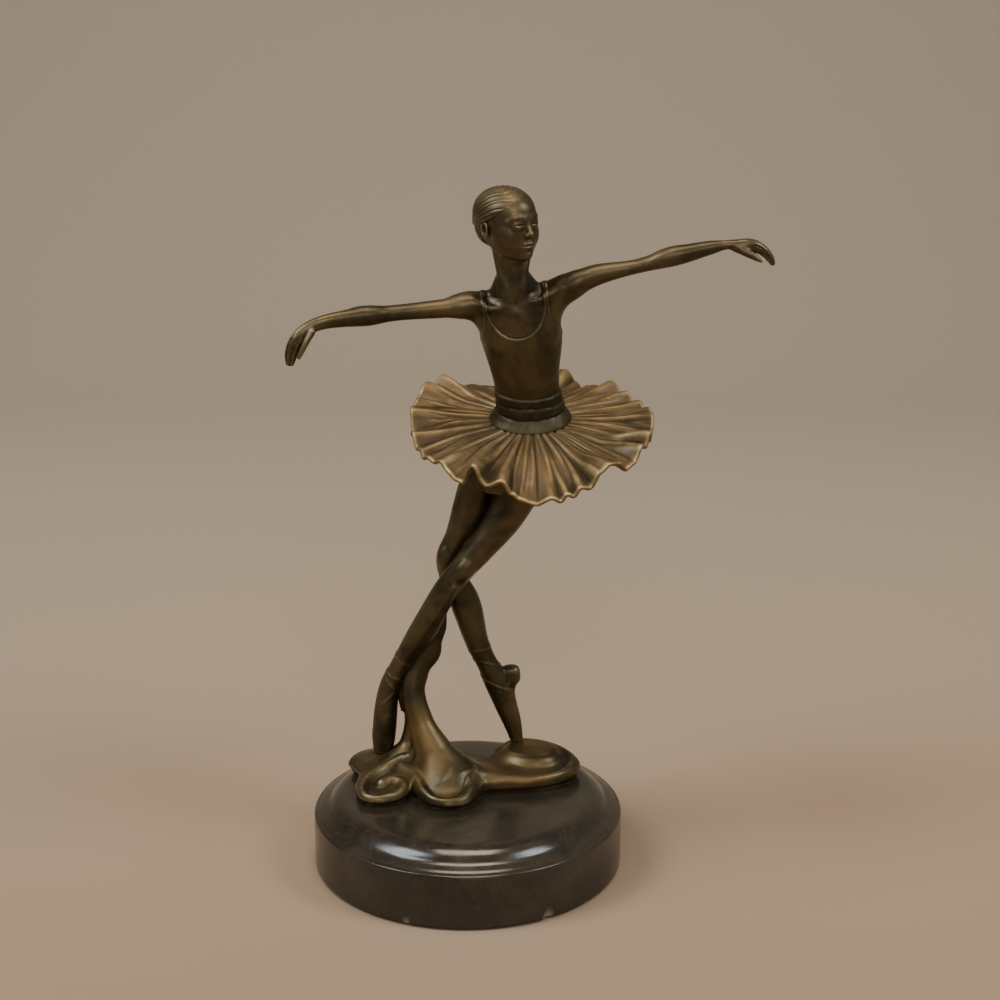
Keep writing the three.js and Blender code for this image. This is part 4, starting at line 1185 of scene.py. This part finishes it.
def make_skirt(material):
    around = int(1000 / COARSE)
    rings = int(56 / COARSE)
    a = np.linspace(0, 2 * math.pi, around, endpoint=False)[:, None]
    s = (np.linspace(0.0, 1.0, rings) ** 0.9)[None, :]
    middle = skirt_surface(a + 0 * s, s + 0 * a)
    da = skirt_surface(a + 0.002 + 0 * s, s + 0 * a) - middle
    ds = middle - skirt_surface(a + 0 * s, s - 0.004 + 0 * a)
    normal = np.cross(da, ds)
    normal = -normal / np.linalg.norm(normal, axis=-1, keepdims=True)
    normal = np.where(normal[..., 2:] < 0, -normal, normal)
    thick = 0.5 * SKIRT_THICKNESS * (1 + 0.15 * smooth_step(0.93, 0.99, s))[..., None]
    thick = thick * np.ones((around, rings, 1))
    top, under = middle + normal * thick, middle - normal * thick
    out = ds[:, -1] / np.linalg.norm(ds[:, -1], axis=-1, keepdims=True)
    steps = 5
    rows = [top[:, k] for k in range(rings)]
    for k in range(1, steps):
        turn = math.pi * k / steps
        rows.append(middle[:, -1] + thick[:, -1] * (normal[:, -1] * math.cos(turn)
                                                   + out * math.sin(turn)))
    below = list(range(0, rings, 3))
    rows += [under[:, k] for k in reversed(below)]
    grid = np.stack(rows, axis=1)
    count = grid.shape[1]
    verts = grid.reshape(-1, 3) @ SKIRT_TURN.T + SKIRT_CENTRE
    i = np.arange(around)[:, None] * count
    j = np.arange(count)[None, :]
    i2 = (np.arange(around)[:, None] + 1) % around * count
    j2 = (j + 1) % count
    faces = np.stack([i + j, i2 + j, i2 + j2, i + j2], axis=-1).reshape(-1, 4)
    share = np.concatenate([s[0], np.ones(steps - 1), s[0][below][::-1]])
    share = np.tile(share, around)
    on_top = np.concatenate([np.ones(rings), np.linspace(1, 0, steps - 1), np.zeros(len(below))])
    on_top = np.tile(on_top, around)
    reach = np.hypot(middle[..., 0], middle[..., 1])
    beside = RIDGE_SPAN / reach
    sides = skirt_surface(a + beside, s) + skirt_surface(a - beside, s)
    crest = middle[..., 2] - 0.5 * sides[..., 2]
    order = list(range(rings)) + [rings - 1] * (steps - 1) + below[::-1]
    crest = crest[:, order].reshape(-1)
    wear = 0.6 * smooth_step(0.12, 0.60, crest) + 1.1 * smooth_step(0.98, 0.995, share)
    darkening_and_painted_shade = 0.8 * smooth_step(0.08, 0.60, -crest) * smooth_step(0.99, 0.93, share)
    # Darker toward the sash: painted shade under the sash's flared lower band.
    darkening_and_painted_shade = darkening_and_painted_shade + 0.6 * smooth_step(0.12, 0.0, share)
    attributes = {
        "wear": np.clip(wear, 0, 1) * (0.25 + 0.75 * on_top),
        "darkening_and_painted_shade": np.clip(darkening_and_painted_shade, 0, 1),
        "reach": share,
        "underside": 1 - on_top,
    }
    skirt = make_object("pleated_skirt", verts, faces.tolist(), attributes, material, 60)
    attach(skirt, "root")
    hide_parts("skirt")


# ---------------------------------------------------------------- marble base

# Where the foot of the base is chipped, and how far each chip spreads.
CHIPS = [((30.6, -51.6, -26.6), 2.6), ((-22.0, -55.9, -26.7), 1.2)]


def make_base(material):
    top = 0.0
    foot = BASE_FOOT - BASE_TOP
    r = BASE_RADIUS
    profile = [
        [0.0, foot], [r - 6.0, foot], [r - 0.9, foot], [r - 0.25, foot + 0.25], [r, foot + 0.9],
        [r, foot + 8.0], [r, -9.0], [r, -7.9], [r - 0.06, -7.3], [r - 0.3, -6.8],
        [r - 0.75, -6.55], [r - 1.2, -6.42], [r - 1.8, -6.18], [r - 2.8, -5.65],
        [r - 4.0, -5.15], [r - 5.2, -4.6], [r - 6.2, -3.9], [r - 7.1, -3.0], [r - 8.2, -2.05],
        [r - 9.6, -1.15], [r - 11.2, -0.45], [r - 13.0, -0.08], [r - 15.0, top],
        [r - 18.0, top], [r - 24.0, top],
        [r - 40.0, top], [0.0, top],
    ]
    fine = catmull([[x, 0.0, z] for x, z in profile], np.linspace(0, 1, 125))
    fine[:, 2] = np.minimum(fine[:, 2], top)
    fine[:, 0] = np.clip(fine[:, 0], 0.0, r)
    around = int(360 / COARSE)
    a = np.linspace(0, 2 * math.pi, around, endpoint=False)
    ring = np.stack([np.cos(a), np.sin(a)], axis=1)
    inner = fine[1:-1]
    verts = [[0.0, 0.0, fine[0, 2]]]
    for radius, _, z in inner:
        for x, y in ring:
            verts.append([radius * x, radius * y, z])
    verts.append([0.0, 0.0, fine[-1, 2]])
    verts = np.array(verts)
    for centre, size in CHIPS:
        gap = np.linalg.norm(verts - np.array(centre), axis=1)
        push = smooth_step(size, size * 0.25, gap)
        outward = verts[:, :2] / np.maximum(np.linalg.norm(verts[:, :2], axis=1), 1e-6)[:, None]
        rough = 1.0 + 0.25 * waves(verts, 1.7, 5)
        verts[:, :2] -= outward * (push * size * 0.45 * rough)[:, None]
    faces = []
    last = len(verts) - 1
    for j in range(around):
        k = (j + 1) % around
        faces.append((0, 1 + k, 1 + j))
        for i in range(len(inner) - 1):
            b = 1 + i * around
            faces.append((b + j, b + k, b + around + k, b + around + j))
        b = 1 + (len(inner) - 1) * around
        faces.append((b + j, b + k, last))
    edge = np.zeros(len(verts))
    for centre, size in CHIPS:
        gap = np.linalg.norm(verts - np.array(centre), axis=1)
        edge = np.maximum(edge, smooth_step(size, size * 0.5, gap))
    base = make_object("turned_marble_base", verts, faces, {"chipped": edge}, material, 50)
    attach(base, "root")
    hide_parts("marble_base")


# ---------------------------------------------------------------- materials

class Nodes:
    """A thin helper for building a node material."""

    def __init__(self, name):
        self.material = bpy.data.materials.new(name)
        self.material.use_nodes = True
        self.tree = self.material.node_tree
        self.tree.nodes.clear()
        self.output = self.tree.nodes.new("ShaderNodeOutputMaterial")
        self.shader = self.tree.nodes.new("ShaderNodeBsdfPrincipled")
        self.link(self.shader.outputs[0], self.output.inputs[0])
        self.coords = self.tree.nodes.new("ShaderNodeTexCoord").outputs["Object"]

    def link(self, source, target):
        self.tree.links.new(source, target)

    def put(self, socket, value):
        if isinstance(value, bpy.types.NodeSocket):
            self.link(value, socket)
        elif value is not None:
            socket.default_value = value

    def noise(self, scale, detail=4.0, rough=0.55, stretch=None, distortion=0.0):
        coords = self.coords
        if stretch is not None:
            mapping = self.tree.nodes.new("ShaderNodeMapping")
            mapping.inputs["Scale"].default_value = stretch
            self.link(coords, mapping.inputs["Vector"])
            coords = mapping.outputs[0]
        node = self.tree.nodes.new("ShaderNodeTexNoise")
        self.link(coords, node.inputs["Vector"])
        node.inputs["Scale"].default_value = scale
        node.inputs["Detail"].default_value = detail
        node.inputs["Roughness"].default_value = rough
        node.inputs["Distortion"].default_value = distortion
        return node.outputs["Fac"]

    def spots(self, scale):
        node = self.tree.nodes.new("ShaderNodeTexVoronoi")
        self.link(self.coords, node.inputs["Vector"])
        node.inputs["Scale"].default_value = scale
        return node.outputs["Distance"]

    def attribute(self, name):
        node = self.tree.nodes.new("ShaderNodeAttribute")
        node.attribute_name = name
        return node.outputs["Fac"]

    def math(self, operation, a, b=0.0, clamp=False):
        node = self.tree.nodes.new("ShaderNodeMath")
        node.operation = operation
        node.use_clamp = clamp
        self.put(node.inputs[0], a)
        self.put(node.inputs[1], b)
        return node.outputs[0]

    def span(self, value, low, high, out_low=0.0, out_high=1.0):
        node = self.tree.nodes.new("ShaderNodeMapRange")
        node.interpolation_type = "SMOOTHSTEP"
        self.put(node.inputs[0], value)
        for k, number in enumerate((low, high, out_low, out_high)):
            node.inputs[k + 1].default_value = number
        return node.outputs[0]

    def mix(self, factor, a, b):
        node = self.tree.nodes.new("ShaderNodeMix")
        node.data_type = "RGBA"
        self.put(node.inputs[0], factor)
        for socket, value in ((node.inputs[6], a), (node.inputs[7], b)):
            self.put(socket, (*value, 1.0) if isinstance(value, tuple) else value)
        return node.outputs[2]

    def bump(self, height, strength, distance):
        node = self.tree.nodes.new("ShaderNodeBump")
        node.inputs["Strength"].default_value = strength
        node.inputs["Distance"].default_value = distance
        self.link(height, node.inputs["Height"])
        self.link(node.outputs[0], self.shader.inputs["Normal"])


def bronze(name, dark, middle, warm, bright, wear_gain=1.0, rough=(0.30, 0.50),
           streaks=0.0, patchy=(0.50, 0.68)):
    """Patinated bronze: brown lacquer, dark in the hollows and rubbed bright on high spots; the
    same dark mix also lays painted shade on the sash and on the skirt next to the sash.
    """
    n = Nodes(name)
    wear, darkening_and_painted_shade = n.attribute("wear"), n.attribute("darkening_and_painted_shade")
    clouds = n.noise(55.0, 5.0, 0.6, distortion=0.6)
    patches = n.noise(18.0, 3.0, 0.5)
    grain = n.noise(900.0, 3.0, 0.6)
    colour = n.mix(n.span(clouds, 0.36, 0.66), middle, dark)
    colour = n.mix(n.span(patches, *patchy, 0.0, 0.8), colour, warm)
    if streaks:
        lines = n.noise(240.0, 4.0, 0.7, stretch=(1.0, 1.0, 0.25))
        colour = n.mix(n.span(lines, 0.52, 0.66, 0.0, streaks), colour, bright)
    rub = n.math("MULTIPLY", wear, n.span(n.noise(150.0, 4.0, 0.65), 0.30, 0.62, 0.35, 1.0))
    rub = n.math("MULTIPLY", rub, wear_gain, clamp=True)
    colour = n.mix(rub, colour, bright)
    # Dark patina in the hollows, and painted shade where the mask carries it (the sash, the skirt
    # next to the sash).
    shade = n.math("MULTIPLY", darkening_and_painted_shade, n.span(clouds, 0.25, 0.75, 0.95, 0.6))
    extra_dark_and_painted_shade = tuple(0.32 * c for c in dark)
    colour = n.mix(shade, colour, extra_dark_and_painted_shade)
    n.link(colour, n.shader.inputs["Base Color"])
    n.shader.inputs["Metallic"].default_value = 0.88
    dull = n.span(n.noise(70.0, 4.0, 0.6), 0.3, 0.7, rough[0], rough[1])
    dull = n.math("ADD", dull, n.math("MULTIPLY", darkening_and_painted_shade, 0.25))
    dull = n.math("SUBTRACT", dull, n.math("MULTIPLY", rub, 0.08), clamp=True)
    n.link(dull, n.shader.inputs["Roughness"])
    n.shader.inputs["Coat Weight"].default_value = 0.12
    n.shader.inputs["Coat Roughness"].default_value = 0.22
    height = n.math("ADD", n.math("MULTIPLY", grain, 0.35), n.noise(230.0, 4.0, 0.55))
    n.bump(height, 0.35, 0.00012)
    return n.material


def marble():
    n = Nodes("black_marble")
    clouds = n.noise(26.0, 6.0, 0.6, distortion=1.2)
    veins = n.noise(60.0, 5.0, 0.65, distortion=2.4)
    flecks = n.span(n.spots(420.0), 0.02, 0.10, 1.0, 0.0)
    colour = n.mix(n.span(clouds, 0.35, 0.7), (0.020, 0.016, 0.011), (0.040, 0.033, 0.023))
    line = n.span(n.math("ABSOLUTE", n.math("SUBTRACT", veins, 0.5)), 0.0, 0.012, 0.35, 0.0)
    colour = n.mix(line, colour, (0.085, 0.075, 0.060))
    speck = n.math("MULTIPLY", flecks, n.span(n.noise(90.0), 0.62, 0.70))
    colour = n.mix(n.math("MULTIPLY", speck, 0.5), colour, (0.16, 0.15, 0.13))
    colour = n.mix(n.attribute("chipped"), colour, (0.22, 0.19, 0.16))
    n.link(colour, n.shader.inputs["Base Color"])
    dull = n.span(n.noise(80.0, 5.0, 0.65), 0.30, 0.72, 0.14, 0.25)
    dull = n.math("ADD", dull, n.math("MULTIPLY", n.attribute("chipped"), 0.5), clamp=True)
    n.link(dull, n.shader.inputs["Roughness"])
    n.shader.inputs["Specular IOR Level"].default_value = 0.6
    n.bump(n.noise(420.0, 4.0, 0.6), 0.10, 0.00008)
    return n.material


def plain_metal(name, colour, dark, rough, turning):
    """Small hidden hardware: brushed or turned metal with a little tarnish."""
    n = Nodes(name)
    tone = n.mix(n.span(n.noise(160.0, 5.0, 0.6), 0.35, 0.7), colour, dark)
    n.link(tone, n.shader.inputs["Base Color"])
    n.shader.inputs["Metallic"].default_value = 1.0
    n.link(n.span(n.noise(300.0, 4.0, 0.6), 0.3, 0.7, rough, rough + 0.22),
           n.shader.inputs["Roughness"])
    n.bump(n.noise(turning, 3.0, 0.5, stretch=(0.2, 0.2, 3.0)), 0.25, 0.00008)
    return n.material


def felt():
    n = Nodes("green_felt")
    fibres = n.noise(2600.0, 6.0, 0.75, distortion=1.5)
    tone = n.mix(n.span(fibres, 0.35, 0.7), (0.018, 0.045, 0.022), (0.040, 0.085, 0.045))
    tone = n.mix(n.span(n.noise(40.0), 0.45, 0.7, 0.0, 0.4), tone, (0.05, 0.07, 0.04))
    n.link(tone, n.shader.inputs["Base Color"])
    n.link(n.span(fibres, 0.2, 0.8, 0.85, 1.0), n.shader.inputs["Roughness"])
    n.shader.inputs["Sheen Weight"].default_value = 0.4
    n.bump(fibres, 0.8, 0.0004)
    return n.material


figure_bronze = bronze(
    "patinated_bronze", dark=(0.050, 0.040, 0.022), middle=(0.125, 0.098, 0.050),
    warm=(0.155, 0.110, 0.052), bright=(0.36, 0.30, 0.17), wear_gain=0.5, rough=(0.38, 0.52))
ground_bronze = bronze(
    "rubbed_bronze", dark=(0.060, 0.045, 0.023), middle=(0.140, 0.104, 0.048),
    warm=(0.210, 0.128, 0.048), bright=(0.44, 0.37, 0.22), wear_gain=0.8, rough=(0.38, 0.54),
    patchy=(0.44, 0.60))
skirt_bronze = bronze(
    "gilded_bronze", dark=(0.070, 0.049, 0.025), middle=(0.128, 0.087, 0.042),
    warm=(0.190, 0.118, 0.050), bright=(0.50, 0.36, 0.17), wear_gain=0.8,
    rough=(0.52, 0.68), streaks=0.08)
black_marble = marble()
dowel_brass = plain_metal("drawn_brass", (0.62, 0.45, 0.20), (0.40, 0.27, 0.12), 0.22, 500.0)
zinc_steel = plain_metal("plated_steel", (0.60, 0.60, 0.58), (0.36, 0.35, 0.33), 0.26, 700.0)
base_felt = felt()


# ---------------------------------------------------------------- the pieces

def ground_shade(verts):
    """The upper stem is darker than the rubbed ground."""
    return 1.0, 1.0, 0.6 * smooth_step(20.0, 36.0, verts[:, 2])


def head_shade(verts):
    """Softens the marks on the face."""
    q = (verts - HEAD_CENTRE) @ HEAD_TURN
    face = smooth_step(0.0, -3.0, q[:, 1])
    return 1 - 0.5 * face, 1 - 0.65 * face, 0.0


# Each call names the CAD node, its field, the box that holds it and the size of its voxels.
sculpt("ground_casting", ground_field, (-52, -24, -2), (48, 38, 76), 0.41,
       shade=ground_shade, material=ground_bronze)
sculpt("left_leg", left_leg_field, (-42, -4, 6), (30, 30, 122), 0.30, (HIP_JOINT,))
sculpt("right_leg", right_leg_field, (-16, 4, 8), (28, 34, 122), 0.30, (HIP_JOINT,))
sculpt("pelvis", pelvis_field, (-4, -6, 117), (42, 32, 160), 0.32, (HIP_JOINT, WAIST_JOINT))
sculpt("torso", torso_field, (-4, -12, 146), (42, 22, 214), 0.29,
       (WAIST_JOINT, NECK_JOINT, RIGHT_JOINT, LEFT_JOINT), shaded(wear_gain=0.55))
sculpt("right_arm", right_arm_field, (-68, -24, 166), (12, 12, 202), 0.25, (RIGHT_JOINT,))
sculpt("left_arm", left_arm_field, (26, -16, 186), (116, 12, 224), 0.25, (LEFT_JOINT,))
sculpt("head", head_field, (-2, -22, 202), (32, 18, 240), 0.19, (NECK_JOINT,), head_shade)
# The sash's extra darkening is painted shade over its upward-facing bands.
sculpt("waist_sash", sash_field, (2, -10, 140), (46, 34, 168), 0.25,
       shade=shaded(wear_gain=0.25, cavity_gain=0.8, extra_dark_and_painted_shade=0.42), name="sash_sculpted")
make_skirt(skirt_bronze)
make_base(black_marble)


def paint(material, *nodes):
    """Gives CAD nodes that stay as they are a finished material."""
    for node in nodes:
        data = bpy.data.objects[node].data
        data.materials.clear()
        data.materials.append(material)


paint(base_felt, "felt_pad")
paint(zinc_steel, "stud_front", "stud_rear", "nut_front", "nut_rear", "washer_front",
      "washer_rear")
paint(dowel_brass, "waist_dowel", "neck_dowel", "left_hip_dowel", "right_hip_dowel",
      "left_shoulder_dowel", "right_shoulder_dowel", "left_toe_dowel", "right_toe_dowel")


# ---------------------------------------------------------------- studio

def backdrop_material():
    n = Nodes("backdrop_painted_falloff")
    floor = n.mix(n.span(n.noise(3.0, 2.0, 0.5), 0.3, 0.7), (0.352, 0.246, 0.162),
                  (0.330, 0.242, 0.168))
    # The floor is painted darker and warmer than the wall of the same cloth: painted falloff of
    # light toward the front.
    tone = n.mix(n.attribute("far"), floor, (0.455, 0.385, 0.305))
    n.link(tone, n.shader.inputs["Base Color"])
    n.shader.inputs["Roughness"].default_value = 0.9
    n.shader.inputs["Specular IOR Level"].default_value = 0.15
    return n.material


def make_backdrop():
    """A floor that sweeps up into a wall behind the object."""
    bend, back, half = 0.55, 0.75, 3.0
    line = [(y, 0.0) for y in (-2.2, -0.5, -0.1, 0.1, 0.3, 0.5, back)]
    for k in range(1, 25):
        turn = math.pi / 2 * k / 24
        line.append((back + bend * math.sin(turn), bend * (1 - math.cos(turn))))
    line.append((back + bend, 2.6))
    columns = np.linspace(-half, half, 13)
    verts = [(x, y, z) for y, z in line for x in columns]
    faces = []
    for i in range(len(line) - 1):
        for j in range(len(columns) - 1):
            k = i * len(columns) + j
            faces.append((k, k + 1, k + 1 + len(columns), k + len(columns)))
    mesh = bpy.data.meshes.new("backdrop")
    mesh.from_pydata(verts, [], faces)
    # far grows from the front of the floor to the wall; the backdrop material uses it for the
    # painted falloff of light.
    far = [min(1.0, max(0.0, (y + 0.1) / 0.7)) for _, y, _ in verts]
    mesh.attributes.new("far", "FLOAT", "POINT").data.foreach_set("value", far)
    mesh.shade_smooth()
    mesh.materials.append(backdrop_material())
    obj = bpy.data.objects.new("backdrop", mesh)
    bpy.context.scene.collection.objects.link(obj)


def softbox(name, place, aim, size, power, colour):
    light = bpy.data.lights.new(name, "AREA")
    light.shape = "RECTANGLE"
    light.size, light.size_y = size
    light.energy = power
    light.color = colour
    obj = bpy.data.objects.new(name, light)
    obj.location = place
    obj.rotation_euler = (Vector(aim) - Vector(place)).to_track_quat("-Z", "Y").to_euler()
    bpy.context.scene.collection.objects.link(obj)


make_backdrop()
MIDDLE = (0.0, 0.0, 0.15)
COOL, WARM = (0.86, 0.95, 1.0), (1.0, 0.80, 0.58)
softbox("key_left", (-0.75, -0.25, 1.05), MIDDLE, (0.45, 0.60), 9.0, COOL)
softbox("key_right", (0.80, -0.30, 0.95), MIDDLE, (0.35, 0.50), 6.0, COOL)
softbox("overhead", (0.0, -0.05, 1.4), MIDDLE, (0.60, 0.45), 9.0, WARM)
softbox("front_fill", (0.1, -1.7, 1.2), MIDDLE, (0.9, 0.6), 10.0, (1.0, 0.93, 0.84))

world = bpy.data.worlds.new("room")
bpy.context.scene.world = world
world.use_nodes = True
world.node_tree.nodes["Background"].inputs[0].default_value = (0.60, 0.52, 0.44, 1.0)
world.node_tree.nodes["Background"].inputs[1].default_value = 0.32

LENS = 68.4
CAMERA_X, CAMERA_Y, CAMERA_ABOVE_TOP = 0.0126, -0.6819, 0.3184
CAMERA_DIP = 16.36
camera_data = bpy.data.cameras.new("camera")
camera_data.lens = LENS
camera_data.sensor_width = 36.0
camera_data.clip_start, camera_data.clip_end = 0.01, 20.0
camera = bpy.data.objects.new("camera", camera_data)
camera.location = (CAMERA_X, CAMERA_Y, BASE_TOP * MM + CAMERA_ABOVE_TOP)
camera.rotation_euler = (math.radians(90 - CAMERA_DIP), 0.0, 0.0)
bpy.context.scene.collection.objects.link(camera)
bpy.context.scene.camera = camera

bpy.context.view_layer.update()
